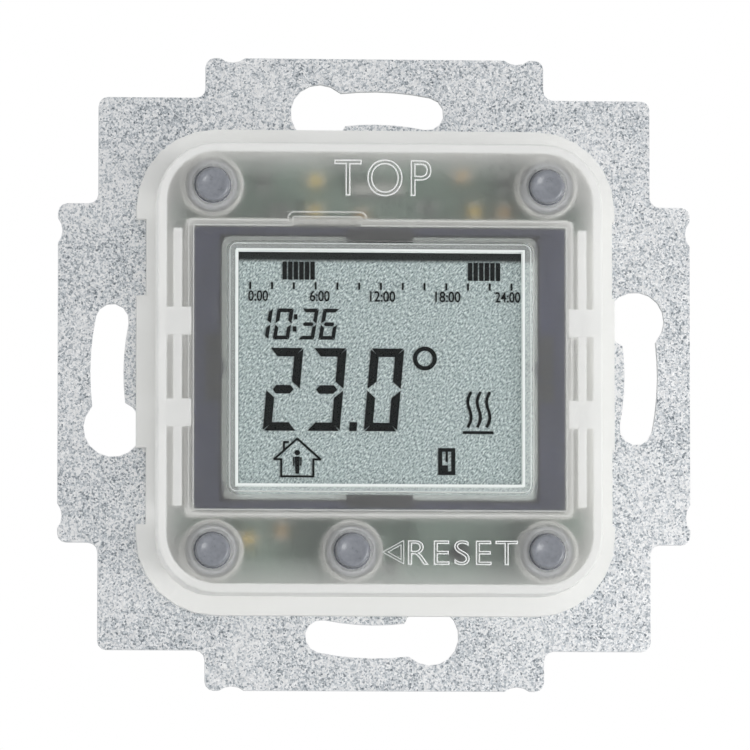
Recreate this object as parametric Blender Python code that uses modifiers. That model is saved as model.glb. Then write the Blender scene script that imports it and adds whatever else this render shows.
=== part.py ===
"""A flush-mounted room thermostat with timer, as it goes into a round wall box.

The wall is the plane y = 0, the front faces -Y and +Z is up. The origin is the middle of the steel
support frame's back face, on the axis of the wall box.
"""

import math

import bmesh
import bpy
from mathutils import Matrix, Vector

# ---- driving dimensions, in metres ----

# clearances
GAP = 0.0003  # between pieces that lie against each other
RUNNING = 0.0002  # round a pin that slides in its hole
SNAP = 0.0003  # round a snap hook
WELD = 0.000001  # points closer than this are one

# steel support frame
FRAME_RIM = 0.0055
FRAME_MIDDLE_RIM = 0.0010
FRAME_TAB = 0.0380
FRAME_SHEET = 0.0010
FRAME_CORNER_R = 0.0010
FRAME_FILLET_R = 0.0011
FRAME_NOTCH_FROM_CORNER = 0.0030
FRAME_NOTCH_WIDTH = 0.0028
FRAME_NOTCH_DEPTH = 0.0005
KEYHOLE_R = 0.00327
KEYHOLE_UNDER_FLANGE = 0.00037
KEYHOLE_SLOT = 0.00374
KEYHOLE_BIG_DEG = 11.9
KEYHOLE_END_DEG = 11.4
FRAME_OPENING_R = 0.0050
FRAME_OPENING_ROOM = 0.0008

# milky front
COVER_R = 0.0066
COVER_WALL = 0.0010
COVER_EDGE_R = 0.0008
COVER_RISE = 0.0065
FLANGE_THICK = 0.0017
FLANGE_SIDE = 0.0020
FLANGE_R = 0.0088
FLANGE_CUT = 0.0011
FLANGE_CUT_NEAR = 0.0085
FLANGE_CUT_FAR = 0.0171
FLANGE_TALLER = 0.0002
RIB_THICK = 0.0007
RIB_FROM_WALL = 0.0009
RIB_LENGTH = 0.0307
RIB_DEPTH = 0.0050
ROOT = 0.0004
LATCH_NEAR = 0.0036
LATCH_FAR = 0.0065
LATCH_REACH = 0.0026
LATCH_FROM_HOLDER = 0.00055
ARM_THICK = 0.0011
ARM_LENGTH = 0.0078
HOOK_DEPTH = 0.0012
HOOK_THICK = 0.0014

# display
GLASS_WIDTH = 0.0323
GLASS_HEIGHT = 0.0264
WINDOW_BEVEL = 0.00065
WINDOW_R = 0.0008
WINDOW_PROUD = 0.0003
WINDOW_LIP = 0.0008
WINDOW_LIP_THICK = 0.0005
WINDOW_LIP_R = 0.0010
LCD_BORDER = 0.0012
LCD_THICK = 0.0018
HOLDER_SIDE = 0.00275
HOLDER_RAIL = 0.00075
HOLDER_R = 0.0004
HOLDER_LEDGE = 0.0016
ZEBRA_END_ROOM = 0.0013
ZEBRA_HEIGHT = 0.0018
ZEBRA_DEPTH = 0.0020

# push pins
PIN_FROM_SIDE = 0.00615
PIN_FROM_HOLDER = 0.00465
PIN_FROM_EDGE = 0.00475
RESET_X = -0.0031
PIN_R = 0.00188
PIN_PROUD = 0.0005
PIN_COLLAR_LIP = 0.00092
PIN_COLLAR_THICK = 0.0007
PIN_SHANK_R = 0.0015
PIN_HOLE_CHAMFER = 0.00025
BOSS_WALL = 0.0004
BOSS_DEPTH = 0.0018
PIN_TRAVEL = 0.0005
SWITCH_SIZE = 0.0050
SWITCH_HEIGHT = 0.0022
STEM_R = 0.0012
STEM_IN_BODY = 0.0008

# circuit boards
BOARD_THICK = 0.0016
BOARD_EDGE = 0.0004
BOARD_GAP = 0.0053

# parts on the boards
CHIP_SIZE = 0.0100
CHIP_THICK = 0.0012
CRYSTAL_R = 0.0010
CRYSTAL_LENGTH = 0.0060
BACKUP_R = 0.0050
BACKUP_HEIGHT = 0.0042
BACKUP_X = -0.0100
BACKUP_Z = 0.0080
SENSOR_R = 0.0012
SENSOR_LENGTH = 0.0030
SENSOR_X = 0.0090
LINK_PINS = 6
LINK_PITCH = 0.00254
LINK_END = 0.00276
LINK_PIN = 0.0006
LINK_HEIGHT = 0.0026
LINK_Z = -0.0160
RELAY_WIDTH = 0.0190
RELAY_HEIGHT = 0.0155
RELAY_DEPTH = 0.0150
RELAY_WALL = 0.0008
RELAY_BASE_THICK = 0.0015
RELAY_FROM_SIDE = 0.0010
RELAY_ROOM_BELOW = 0.356  # share of the height that the relay and the fuse leave free
FUSE_ROOM_BELOW = 0.25
FILM_FROM_RELAY = 0.0020
FILM_HEIGHT = 0.0070
FILM_DEPTH = 0.0120
FILM_FROM_SIDE = 0.0020
FILM_FROM_TOP = 0.0060
SMOOTHING_FROM_FILM = 0.0015
SMOOTHING_FROM_RELAY = 0.0012
SMOOTHING_FROM_VARISTOR = 0.0025
SMOOTHING_HEIGHT = 0.0115
VARISTOR_R = 0.0040
VARISTOR_THICK = 0.0040
VARISTOR_FROM_SIDE = 0.0013
VARISTOR_OFF_BOARD = 0.0004
FUSE_R = 0.0041
FUSE_HEIGHT = 0.0080
FUSE_FROM_SIDE = 0.0105
COIL_R = 0.0040
COIL_LENGTH = 0.0100
COIL_FLANGE = 0.0008
ARMATURE_REACH = 0.0040  # past the coil, over the fixed contact
STUD_FROM_COIL = 0.0030
STUD_R = 0.0008
STUD_BELOW_COIL = 0.0004
YOKE_THICK = 0.0012

# rear housing
HOUSING_DEPTH = 0.0250
HOUSING_WALL = 0.0014
HOUSING_CHAMFER = 0.0090
HOUSING_FLANGE_SIDE = 0.0015
HOUSING_FLANGE_R = 0.0060
HOUSING_FLANGE_THICK = 0.0015

# terminals
TERMINALS = 5
TERMINAL_PITCH = 0.00635
BLOCK_SIDE = 0.0010
BLOCK_FROM_BOTTOM = 0.0005
BLOCK_HEIGHT = 0.0103
BLOCK_DEPTH = 0.0129
BLOCK_BACK = 0.0018
BLOCK_WALL = 0.0009
CELL_WIDTH = 0.0052
CAGE_HEIGHT = 0.0044
CAGE_DEPTH = 0.0073
CAGE_WALL = 0.0008
CAGE_TRAVEL = 0.0023
CAGE_BEHIND_SCREW = 0.0020
SCREW_HEAD_R = 0.0019
SCREW_HEAD_THICK = 0.0015
SCREW_R = 0.0013
SCREW_SLOT = 0.0006
SCREW_SLOT_DEPTH = 0.0007
CONTACT_THICK = 0.0007
CONTACT_WIDTH = 0.0028
CONTACT_LEG = 0.0010
CONTACT_LEG_FROM_TOP = 0.0018
WIRE_ENTRY = 0.0034

# ---- places along Y, worked out from the sizes above ----
FRAME_FRONT = -FRAME_SHEET
FLANGE_BACK = FRAME_FRONT - GAP
FLANGE_FRONT = FLANGE_BACK - FLANGE_THICK
COVER_FRONT = FLANGE_FRONT - COVER_RISE
COVER_INSIDE = COVER_FRONT + COVER_WALL
HOLDER_FRONT = COVER_INSIDE + GAP
WINDOW_BACK = HOLDER_FRONT + WINDOW_LIP_THICK
LCD_FRONT = WINDOW_BACK + GAP
LCD_BACK = LCD_FRONT + LCD_THICK
BOARD_FRONT = LCD_BACK + 2 * GAP + ZEBRA_DEPTH
BOARD_BACK = BOARD_FRONT + BOARD_THICK
POWER_FRONT = BOARD_BACK + BOARD_GAP
POWER_BACK = POWER_FRONT + BOARD_THICK
BLOCK_FRONT = HOUSING_DEPTH - BLOCK_DEPTH
CELL_BACK = HOUSING_DEPTH - BLOCK_BACK
CELL_FRONT = BLOCK_FRONT + BLOCK_WALL
CAGE_FRONT = CELL_FRONT + GAP

# ---- places across the front, worked outwards from the glass ----
LCD_WIDTH = GLASS_WIDTH + 2 * LCD_BORDER
LCD_HEIGHT = GLASS_HEIGHT + 2 * LCD_BORDER
POCKET_WIDTH = max(LCD_WIDTH, GLASS_WIDTH + 2 * (WINDOW_BEVEL + WINDOW_LIP)) + 2 * GAP
POCKET_HEIGHT = max(LCD_HEIGHT, GLASS_HEIGHT + 2 * (WINDOW_BEVEL + WINDOW_LIP)) + 2 * GAP
HOLDER_WIDTH = POCKET_WIDTH + 2 * HOLDER_SIDE
HOLDER_HEIGHT = POCKET_HEIGHT + 2 * HOLDER_RAIL
ZEBRA_WIDTH = POCKET_WIDTH - 2 * (HOLDER_LEDGE + ZEBRA_END_ROOM)
COVER_INNER_X = HOLDER_WIDTH / 2 + LATCH_FROM_HOLDER + LATCH_REACH
COVER_WIDTH = 2 * (COVER_INNER_X + COVER_WALL)
PIN_COLLAR_R = PIN_R + PIN_COLLAR_LIP
PIN_X = COVER_WIDTH / 2 - PIN_FROM_SIDE
PIN_Z = HOLDER_HEIGHT / 2 + PIN_FROM_HOLDER
COVER_HEIGHT = 2 * (PIN_Z + PIN_FROM_EDGE)
COVER_INNER_Z = COVER_HEIGHT / 2 - COVER_WALL
RIB_OUT = COVER_INNER_X - RIB_FROM_WALL
RIB_IN = RIB_OUT - RIB_THICK
ARM_OUT = COVER_INNER_X - GAP / 3
ARM_IN = ARM_OUT - ARM_THICK
SCREW_CIRCLE_R = max(COVER_WIDTH, COVER_HEIGHT) / 2 + FLANGE_SIDE + KEYHOLE_R - KEYHOLE_UNDER_FLANGE
FRAME_SIZE = 2 * (SCREW_CIRCLE_R + FRAME_RIM)
FRAME_MIDDLE = 2 * (SCREW_CIRCLE_R + FRAME_MIDDLE_RIM)
FRAME_OPENING = 2 * (ARM_OUT + FRAME_OPENING_ROOM)
HOUSING_SIZE = 2 * (ARM_IN - SNAP)
HOUSING_FLANGE = FRAME_OPENING + 2 * HOUSING_FLANGE_SIDE
POWER_BOARD_SIZE = HOUSING_SIZE - 2 * (HOUSING_WALL + BOARD_EDGE)
BLOCK_BOTTOM = -HOUSING_SIZE / 2 + BLOCK_FROM_BOTTOM
BLOCK_TOP = BLOCK_BOTTOM + BLOCK_HEIGHT
STACK_ROOM = HOUSING_SIZE / 2 - 2 * HOUSING_WALL - BLOCK_TOP - RELAY_HEIGHT - 2 * FUSE_R
RELAY_BOTTOM = BLOCK_TOP + HOUSING_WALL + RELAY_ROOM_BELOW * STACK_ROOM
RELAY_TOP = RELAY_BOTTOM + RELAY_HEIGHT
RELAY_RIGHT = -POWER_BOARD_SIZE / 2 + RELAY_FROM_SIDE + RELAY_WIDTH
VARISTOR_LEFT = POWER_BOARD_SIZE / 2 - VARISTOR_FROM_SIDE - 2 * VARISTOR_R
SMOOTHING_R = (VARISTOR_LEFT - SMOOTHING_FROM_VARISTOR - RELAY_RIGHT - SMOOTHING_FROM_RELAY) / 2
BLOCK_WIDTH = TERMINALS * TERMINAL_PITCH + 2 * BLOCK_SIDE
PIN_PLACES = {
    "top_left": (-PIN_X, PIN_Z),
    "top_right": (PIN_X, PIN_Z),
    "bottom_left": (-PIN_X, -PIN_Z),
    "bottom_right": (PIN_X, -PIN_Z),
    "reset": (RESET_X, -PIN_Z),
}

for old in list(bpy.data.objects):
    bpy.data.objects.remove(old, do_unlink=True)

PARTS = bpy.data.collections.new("wall_thermostat")
CUTTERS = bpy.data.collections.new("cutters")
bpy.context.scene.collection.children.link(PARTS)
bpy.context.scene.collection.children.link(CUTTERS)


# ---- materials ----
def material(name, colour, roughness, metallic=0.0):
    """A Principled material with one colour, made once for each name."""
    made = bpy.data.materials.get(name)
    if made is None:
        made = bpy.data.materials.new(name)
        made.use_nodes = True
        shader = made.node_tree.nodes["Principled BSDF"]
        shader.inputs["Base Color"].default_value = (*colour, 1.0)
        shader.inputs["Roughness"].default_value = roughness
        shader.inputs["Metallic"].default_value = metallic
    return made


ZINC = material("zinc plated steel", (0.62, 0.64, 0.66), 0.45, 1.0)
MILKY = material("milky polycarbonate", (0.70, 0.70, 0.70), 0.35)
CLEAR = material("clear acrylic", (0.80, 0.84, 0.84), 0.05)
LCD_GREY = material("liquid crystal glass", (0.44, 0.48, 0.49), 0.20)
DARK_ABS = material("dark grey ABS", (0.09, 0.09, 0.11), 0.50)
PIN_BLUE = material("blue grey acetal", (0.24, 0.25, 0.28), 0.35)
BOARD_GREEN = material("green circuit board", (0.05, 0.22, 0.09), 0.40)
EPOXY_BLACK = material("black moulding compound", (0.02, 0.02, 0.02), 0.50)
RUBBER_GREY = material("silicone rubber", (0.20, 0.20, 0.21), 0.70)
TIN = material("tin plated steel", (0.70, 0.70, 0.68), 0.30, 1.0)
BRASS = material("nickel plated brass", (0.66, 0.60, 0.44), 0.35, 1.0)
HOUSING_WHITE = material("light grey polyamide", (0.60, 0.60, 0.58), 0.50)
RELAY_BLUE = material("blue relay case", (0.05, 0.14, 0.32), 0.35)
COPPER = material("enamelled copper wire", (0.50, 0.20, 0.07), 0.35, 1.0)
CAP_YELLOW = material("yellow film capacitor", (0.70, 0.48, 0.07), 0.40)
VARISTOR_BLUE = material("blue ceramic disc", (0.06, 0.14, 0.36), 0.40)


# ---- ways of making a piece ----
def keep(obj, paint):
    """Puts a finished piece in the thermostat's collection with its material."""
    PARTS.objects.link(obj)
    obj.data.materials.clear()
    obj.data.materials.append(paint)
    return obj


def tool(obj):
    """Puts a piece that only cuts or adds material with the cutters."""
    CUTTERS.objects.link(obj)
    obj.hide_render = True
    obj.display_type = "WIRE"
    return obj


def cut(obj, cutter):
    """Takes one or more cutters out of a piece."""
    for one in cutter if isinstance(cutter, list) else [cutter]:
        step = obj.modifiers.new("cut " + one.name, "BOOLEAN")
        step.operation = "DIFFERENCE"
        step.object = tool(one)
    return obj


def add(obj, extra):
    """Joins one or more shapes to a piece."""
    for one in extra if isinstance(extra, list) else [extra]:
        step = obj.modifiers.new("add " + one.name, "BOOLEAN")
        step.operation = "UNION"
        step.object = tool(one)
    return obj


def solve_as_manifold(obj):
    """Switches a piece with many flush joins to the solver that keeps them closed."""
    for step in obj.modifiers:
        if step.type == "BOOLEAN":
            step.solver = "MANIFOLD"
    return obj


def mesh_object(name, bm):
    """Turns a bmesh into an object."""
    bmesh.ops.recalc_face_normals(bm, faces=bm.faces)
    mesh = bpy.data.meshes.new(name)
    bm.to_mesh(mesh)
    bm.free()
    return bpy.data.objects.new(name, mesh)


def box(name, low, high):
    """A box between two corners."""
    bm = bmesh.new()
    bmesh.ops.create_cube(bm, size=1.0)
    low = Vector(low)
    high = Vector(high)
    bmesh.ops.scale(bm, vec=high - low, verts=bm.verts)
    bmesh.ops.translate(bm, vec=(low + high) / 2, verts=bm.verts)
    return mesh_object(name, bm)


def rod(name, centre, radius, low, high, axis="Y", sides=20, end_radius=None):
    """A round bar, or a cone, along one axis between two coordinates on it."""
    bm = bmesh.new()
    bmesh.ops.create_cone(
        bm,
        cap_ends=True,
        segments=sides,
        radius1=radius,
        radius2=radius if end_radius is None else end_radius,
        depth=high - low,
    )
    turn = {
        "X": Matrix.Rotation(math.radians(90), 4, "Y"),
        "Y": Matrix.Rotation(math.radians(-90), 4, "X"),
        "Z": Matrix.Identity(4),
    }[axis]
    bmesh.ops.transform(bm, matrix=turn, verts=bm.verts)
    middle = Vector(centre)
    middle["XYZ".index(axis)] = (low + high) / 2
    bmesh.ops.translate(bm, vec=middle, verts=bm.verts)
    return mesh_object(name, bm)


def turned(name, place, profile, sides=24):
    """A turned piece on an axis along Y: (radius, distance in front of the place) down its outside."""
    bm = bmesh.new()
    row = [bm.verts.new((radius, 0, front)) for radius, front in profile]
    for first, second in zip(row, row[1:]):
        bm.edges.new((first, second))
    mesh = bpy.data.meshes.new(name)
    bm.to_mesh(mesh)
    bm.free()
    obj = bpy.data.objects.new(name, mesh)
    obj.location = place
    obj.rotation_euler = (math.radians(90), 0, 0)
    spin = obj.modifiers.new("turn", "SCREW")
    spin.steps = sides
    spin.render_steps = sides
    spin.use_merge_vertices = True
    spin.merge_threshold = WELD
    return obj


def arc(centre, radius, start_deg, end_deg, steps):
    """Points along an arc, in the plane of the wall."""
    span = end_deg - start_deg
    angles = [math.radians(start_deg + span * i / steps) for i in range(steps + 1)]
    return [(centre[0] + radius * math.cos(a), centre[1] + radius * math.sin(a)) for a in angles]


def rounded(width, height, radius, steps=5, centre=(0, 0)):
    """A rectangle with round corners, anticlockwise."""
    x = width / 2 - radius
    z = height / 2 - radius
    points = []
    for turn, (sx, sz) in enumerate(((1, 1), (-1, 1), (-1, -1), (1, -1))):
        corner = (centre[0] + sx * x, centre[1] + sz * z)
        points += arc(corner, radius, 90 * turn, 90 * turn + 90, steps)
    return points


def chamfered(width, height, chamfer):
    """A rectangle with cut corners, anticlockwise."""
    x = width / 2
    z = height / 2
    corner = [(x, z - chamfer), (x - chamfer, z)]
    quarter = corner + [(-px, pz) for px, pz in reversed(corner)]
    return quarter + [(-px, -pz) for px, pz in quarter]


def sheet(name, loops, front, back):
    """A flat outline, with any holes in it, made as thick as from front to back along Y."""
    curve = bpy.data.curves.new(name, "CURVE")
    curve.dimensions = "2D"
    curve.fill_mode = "BOTH"
    curve.extrude = (back - front) / 2
    for loop in loops:
        line = curve.splines.new("POLY")
        line.points.add(len(loop) - 1)
        for point, (x, z) in zip(line.points, loop):
            point.co = (x, z, 0, 1)
        line.use_cyclic_u = True
    flat = bpy.data.objects.new(name + " outline", curve)
    flat.location = (0, (front + back) / 2, 0)
    flat.rotation_euler = (math.radians(90), 0, 0)
    PARTS.objects.link(flat)
    bpy.context.view_layer.update()
    seen = flat.evaluated_get(bpy.context.evaluated_depsgraph_get())
    bm = bmesh.new()
    bm.from_mesh(bpy.data.meshes.new_from_object(seen))
    bmesh.ops.remove_doubles(bm, verts=bm.verts, dist=WELD)
    obj = mesh_object(name, bm)
    obj.matrix_world = flat.matrix_world.copy()
    bpy.data.objects.remove(flat, do_unlink=True)
    return obj


def smooth(obj, degrees=35):
    """Shades a round piece smooth, with its corners kept sharp."""
    obj.data.shade_smooth()
    obj.data.set_sharp_from_angle(angle=math.radians(degrees))
    return obj


# ---- steel support frame ----
def frame_quarter():
    """The frame's outline over its top right quarter, anticlockwise from the right tab."""
    half = FRAME_SIZE / 2
    middle = FRAME_MIDDLE / 2
    tab = FRAME_TAB / 2
    corner = FRAME_CORNER_R
    fillet = FRAME_FILLET_R
    deep = FRAME_NOTCH_DEPTH
    notch_r = ((FRAME_NOTCH_WIDTH / 2) ** 2 + deep**2) / (2 * deep)
    notch_deg = math.degrees(math.asin(FRAME_NOTCH_WIDTH / 2 / notch_r))
    notch_at = tab - FRAME_NOTCH_FROM_CORNER
    notch_centre = half - deep + notch_r
    points = arc((notch_centre, notch_at), notch_r, 180 + notch_deg, 180 - notch_deg, 4)
    points += arc((half - corner, tab - corner), corner, 0, 90, 3)
    points += arc((middle + fillet, tab + fillet), fillet, 270, 180, 3)
    points += arc((middle - corner, middle - corner), corner, 0, 90, 3)
    points += arc((tab + fillet, middle + fillet), fillet, 270, 180, 3)
    points += arc((tab - corner, half - corner), corner, 0, 90, 3)
    points += arc((notch_at, notch_centre), notch_r, 270 + notch_deg, 270 - notch_deg, 4)
    return points


def turned_about_centre(points, degrees):
    """The points turned about the middle of the frame."""
    c = math.cos(math.radians(degrees))
    s = math.sin(math.radians(degrees))
    return [(x * c - z * s, x * s + z * c) for x, z in points]


def keyhole():
    """The top keyhole slot: a round hole that a screw head passes, and a curved slot beside it."""
    half = KEYHOLE_SLOT / 2
    big = (
        -SCREW_CIRCLE_R * math.sin(math.radians(KEYHOLE_BIG_DEG)),
        SCREW_CIRCLE_R * math.cos(math.radians(KEYHOLE_BIG_DEG)),
    )
    neck = math.degrees(math.asin(half / KEYHOLE_R))
    neck_x = KEYHOLE_R * math.cos(math.radians(neck))
    neck_turn = math.degrees(neck_x / SCREW_CIRCLE_R)
    start = 90 + KEYHOLE_BIG_DEG - neck_turn
    end = 90 - KEYHOLE_END_DEG
    points = arc((0, 0), SCREW_CIRCLE_R - half, start, end, 5)
    centre = (
        SCREW_CIRCLE_R * math.cos(math.radians(end)),
        SCREW_CIRCLE_R * math.sin(math.radians(end)),
    )
    points += arc(centre, half, end - 180, end, 6)[1:-1]
    points += arc((0, 0), SCREW_CIRCLE_R + half, end, start, 5)
    points += arc(big, KEYHOLE_R, KEYHOLE_BIG_DEG + neck, KEYHOLE_BIG_DEG + 360 - neck, 14)[1:-1]
    return points


def mounting_frame():
    outline = []
    for turn in range(4):
        outline += turned_about_centre(frame_quarter(), 90 * turn)
    loops = [outline, rounded(FRAME_OPENING, FRAME_OPENING, FRAME_OPENING_R)]
    loops += [turned_about_centre(keyhole(), 90 * turn) for turn in range(4)]
    return keep(sheet("mounting_frame", loops, FRAME_FRONT, 0.0), ZINC)


# ---- milky front ----
def flange_outline():
    """The flange, cut back above and below its middle where the frame's hooks pass."""
    width = COVER_WIDTH + 2 * FLANGE_SIDE
    height = COVER_HEIGHT + 2 * FLANGE_SIDE + FLANGE_TALLER
    return rounded(width, height, FLANGE_R, 6)


def latch(side, level):
    """One latch block with the snap arm that reaches through the frame to the rear housing."""
    low = level * LATCH_NEAR
    high = level * LATCH_FAR
    bottom = min(low, high)
    top = max(low, high)
    root = COVER_INNER_X - LATCH_REACH
    wall = COVER_INNER_X + COVER_WALL / 2
    arm_back = FLANGE_BACK + ARM_LENGTH
    front = COVER_INSIDE - ROOT / 2
    back = FLANGE_FRONT + GAP
    body = span_box("latch block", side, root, wall, front, back, bottom, top)
    inset = SNAP / 4
    arm = span_box("snap arm", side, ARM_IN, ARM_OUT, back - 2 * GAP, arm_back, bottom + inset, top - inset)
    hook = span_box(
        "snap hook",
        side,
        ARM_IN - HOOK_DEPTH,
        ARM_IN + ARM_THICK / 2,
        arm_back - HOOK_THICK,
        arm_back - inset,
        bottom + 2 * inset,
        top - 2 * inset,
    )
    return [body, arm, hook]


def span_box(name, side, near, far, front, back, bottom, top):
    """A box on one side of the middle: near and far are distances from it."""
    low = min(side * near, side * far)
    high = max(side * near, side * far)
    return box(name, (low, front, bottom), (high, back, top))


def front_cover():
    raised = sheet(
        "front_cover",
        [rounded(COVER_WIDTH, COVER_HEIGHT, COVER_R, 6)],
        COVER_FRONT,
        FLANGE_BACK - FLANGE_THICK / 2,
    )
    edge = raised.modifiers.new("rounded front edge", "BEVEL")
    edge.width = min(COVER_EDGE_R, COVER_WALL * 0.9)
    edge.segments = 2
    edge.limit_method = "ANGLE"
    edge.angle_limit = math.radians(60)
    add(raised, sheet("flange", [flange_outline()], FLANGE_FRONT, FLANGE_BACK))
    for side, depth in ((-1, FLANGE_CUT), (1, FLANGE_CUT / 4)):
        edge = COVER_WIDTH / 2 + FLANGE_SIDE
        for level in (-1, 1):
            ends = sorted((level * FLANGE_CUT_NEAR, level * FLANGE_CUT_FAR))
            cutter = span_box(
                "flange cut", side, edge - depth, edge + depth, FLANGE_FRONT - GAP, FLANGE_BACK + GAP, *ends
            )
            cut(raised, cutter)
    inner_r = COVER_R - COVER_WALL
    hollow = rounded(2 * COVER_INNER_X, 2 * COVER_INNER_Z, inner_r, 6)
    cut(raised, sheet("cover hollow", [hollow], COVER_INSIDE, FLANGE_BACK + GAP))
    holder_x = HOLDER_WIDTH + 2 * GAP
    holder_z = HOLDER_HEIGHT + 2 * GAP
    ring = [
        rounded(holder_x + 2 * RIB_THICK, holder_z + 2 * RIB_THICK, RIB_THICK, 2),
        rounded(holder_x, holder_z, GAP, 2),
    ]
    add(raised, sheet("holder rib", ring, COVER_INSIDE - ROOT * 0.75, COVER_INSIDE + BOSS_DEPTH))
    for side in (-1, 1):
        rib = span_box(
            "side rib",
            side,
            RIB_IN,
            RIB_OUT,
            COVER_INSIDE - ROOT,
            COVER_INSIDE + RIB_DEPTH,
            -RIB_LENGTH / 2,
            RIB_LENGTH / 2,
        )
        add(raised, rib)
        for level in (-1, 1):
            add(raised, latch(side, level))
    opening_x = GLASS_WIDTH + 2 * (WINDOW_BEVEL + GAP)
    opening_z = GLASS_HEIGHT + 2 * (WINDOW_BEVEL + GAP)
    opening = rounded(opening_x, opening_z, WINDOW_R + GAP, 4)
    cut(raised, sheet("display opening", [opening], COVER_FRONT - GAP, COVER_INSIDE + GAP))
    for name, (x, z) in PIN_PLACES.items():
        bore = PIN_COLLAR_R + GAP
        boss = [
            arc((x, z), bore + BOSS_WALL, 0, 345, 23),
            arc((x, z), bore, 0, 345, 23),
        ]
        add(raised, sheet("boss " + name, boss, COVER_INSIDE - ROOT, COVER_INSIDE + BOSS_DEPTH))
        hole = PIN_R + RUNNING
        cut(raised, rod("hole " + name, (x, 0, z), hole, COVER_FRONT - GAP, COVER_INSIDE + GAP, sides=24))
        rim = PIN_HOLE_CHAMFER
        front = COVER_FRONT - rim
        back = COVER_FRONT + 2 * rim
        cone = rod("rim " + name, (x, 0, z), hole + 2 * rim, front, back, sides=24, end_radius=hole - rim)
        cut(raised, cone)
    return keep(solve_as_manifold(raised), MILKY)


# ---- display ----
def display_window():
    plug_x = GLASS_WIDTH + 2 * WINDOW_BEVEL
    plug_z = GLASS_HEIGHT + 2 * WINDOW_BEVEL
    front = COVER_FRONT - WINDOW_PROUD
    window = sheet("display_window", [rounded(plug_x, plug_z, WINDOW_R, 4)], front, HOLDER_FRONT + GAP / 2)
    rim = window.modifiers.new("bevelled rim", "BEVEL")
    rim.width = WINDOW_BEVEL * 0.6
    rim.segments = 1
    rim.limit_method = "ANGLE"
    rim.angle_limit = math.radians(60)
    lip_x = plug_x + 2 * WINDOW_LIP
    lip_z = plug_z + 2 * WINDOW_LIP
    lip = sheet("window lip", [rounded(lip_x, lip_z, WINDOW_LIP_R, 3)], HOLDER_FRONT, WINDOW_BACK)
    return keep(add(window, lip), CLEAR)


def lcd_panel():
    glass = box(
        "lcd_panel",
        (-LCD_WIDTH / 2, LCD_FRONT, -LCD_HEIGHT / 2),
        (LCD_WIDTH / 2, LCD_BACK, LCD_HEIGHT / 2),
    )
    return keep(glass, LCD_GREY)


def lcd_holder():
    back = BOARD_FRONT - GAP
    outer = [rounded(HOLDER_WIDTH, HOLDER_HEIGHT, HOLDER_R, 2)]
    holder = sheet("lcd_holder", outer, HOLDER_FRONT, back)
    pocket = box(
        "glass pocket",
        (-POCKET_WIDTH / 2, HOLDER_FRONT - GAP, -POCKET_HEIGHT / 2),
        (POCKET_WIDTH / 2, LCD_BACK + GAP, POCKET_HEIGHT / 2),
    )
    way = box(
        "contact way",
        (-POCKET_WIDTH / 2 + HOLDER_LEDGE, LCD_BACK, -POCKET_HEIGHT / 2),
        (POCKET_WIDTH / 2 - HOLDER_LEDGE, back + GAP, POCKET_HEIGHT / 2),
    )
    return keep(cut(holder, [pocket, way]), DARK_ABS)


def zebra_strips():
    for name, side in (("zebra_strip_top", 1), ("zebra_strip_bottom", -1)):
        middle = side * (LCD_HEIGHT / 2 - ZEBRA_HEIGHT / 2 - GAP)
        strip = box(
            name,
            (-ZEBRA_WIDTH / 2, LCD_BACK + GAP, middle - ZEBRA_HEIGHT / 2),
            (ZEBRA_WIDTH / 2, BOARD_FRONT - GAP, middle + ZEBRA_HEIGHT / 2),
        )
        keep(strip, RUBBER_GREY)


# ---- push pins and their switches ----
def push_pins():
    collar_front = COVER_INSIDE + GAP
    collar_back = collar_front + PIN_COLLAR_THICK
    head_front = COVER_FRONT - PIN_PROUD
    switch_back = BOARD_FRONT - GAP
    switch_front = switch_back - SWITCH_HEIGHT
    stem_back = switch_front + STEM_IN_BODY
    stem_front = switch_front - PIN_TRAVEL - 2 * GAP
    shank_back = stem_front - GAP / 3
    for name, (x, z) in PIN_PLACES.items():
        edge = PIN_R / 8
        profile = [
            (0.0, -head_front),
            (PIN_R - edge, -head_front),
            (PIN_R, -head_front - edge),
            (PIN_R, -collar_front),
            (PIN_COLLAR_R, -collar_front),
            (PIN_COLLAR_R, -collar_back),
            (PIN_SHANK_R, -collar_back),
            (PIN_SHANK_R, -shank_back),
            (0.0, -shank_back),
        ]
        pin = turned("button_" + name, (x, 0, z), profile)
        keep(smooth(pin), PIN_BLUE)
        half = SWITCH_SIZE / 2
        body = box(
            "switch_body_" + name,
            (x - half, switch_front, z - half),
            (x + half, switch_back, z + half),
        )
        deep = stem_back + PIN_TRAVEL + GAP
        cut(body, rod("stem hole " + name, (x, 0, z), STEM_R + GAP, switch_front - GAP, deep, sides=16))
        keep(body, EPOXY_BLACK)
        stem = rod("switch_stem_" + name, (x, 0, z), STEM_R, stem_front, stem_back, sides=16)
        keep(stem, RUBBER_GREY)


# ---- control board behind the display ----
def control_board():
    """Wide at the push pins, and narrower beside the cover's ribs and latches."""
    wide = COVER_INNER_X - BOARD_EDGE
    narrow = COVER_INNER_X - LATCH_REACH - BOARD_EDGE
    high = COVER_INNER_Z - BOARD_EDGE
    step = RIB_LENGTH / 2 + BOARD_EDGE
    chamfer = COVER_R - COVER_WALL
    quarter = [(narrow, step), (wide, step), (wide, high - chamfer), (wide - chamfer, high)]
    half = quarter + [(-x, z) for x, z in reversed(quarter)]
    outline = half + [(-x, -z) for x, z in half]
    return keep(sheet("control_board", [outline], BOARD_FRONT, BOARD_BACK), BOARD_GREEN)


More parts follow.
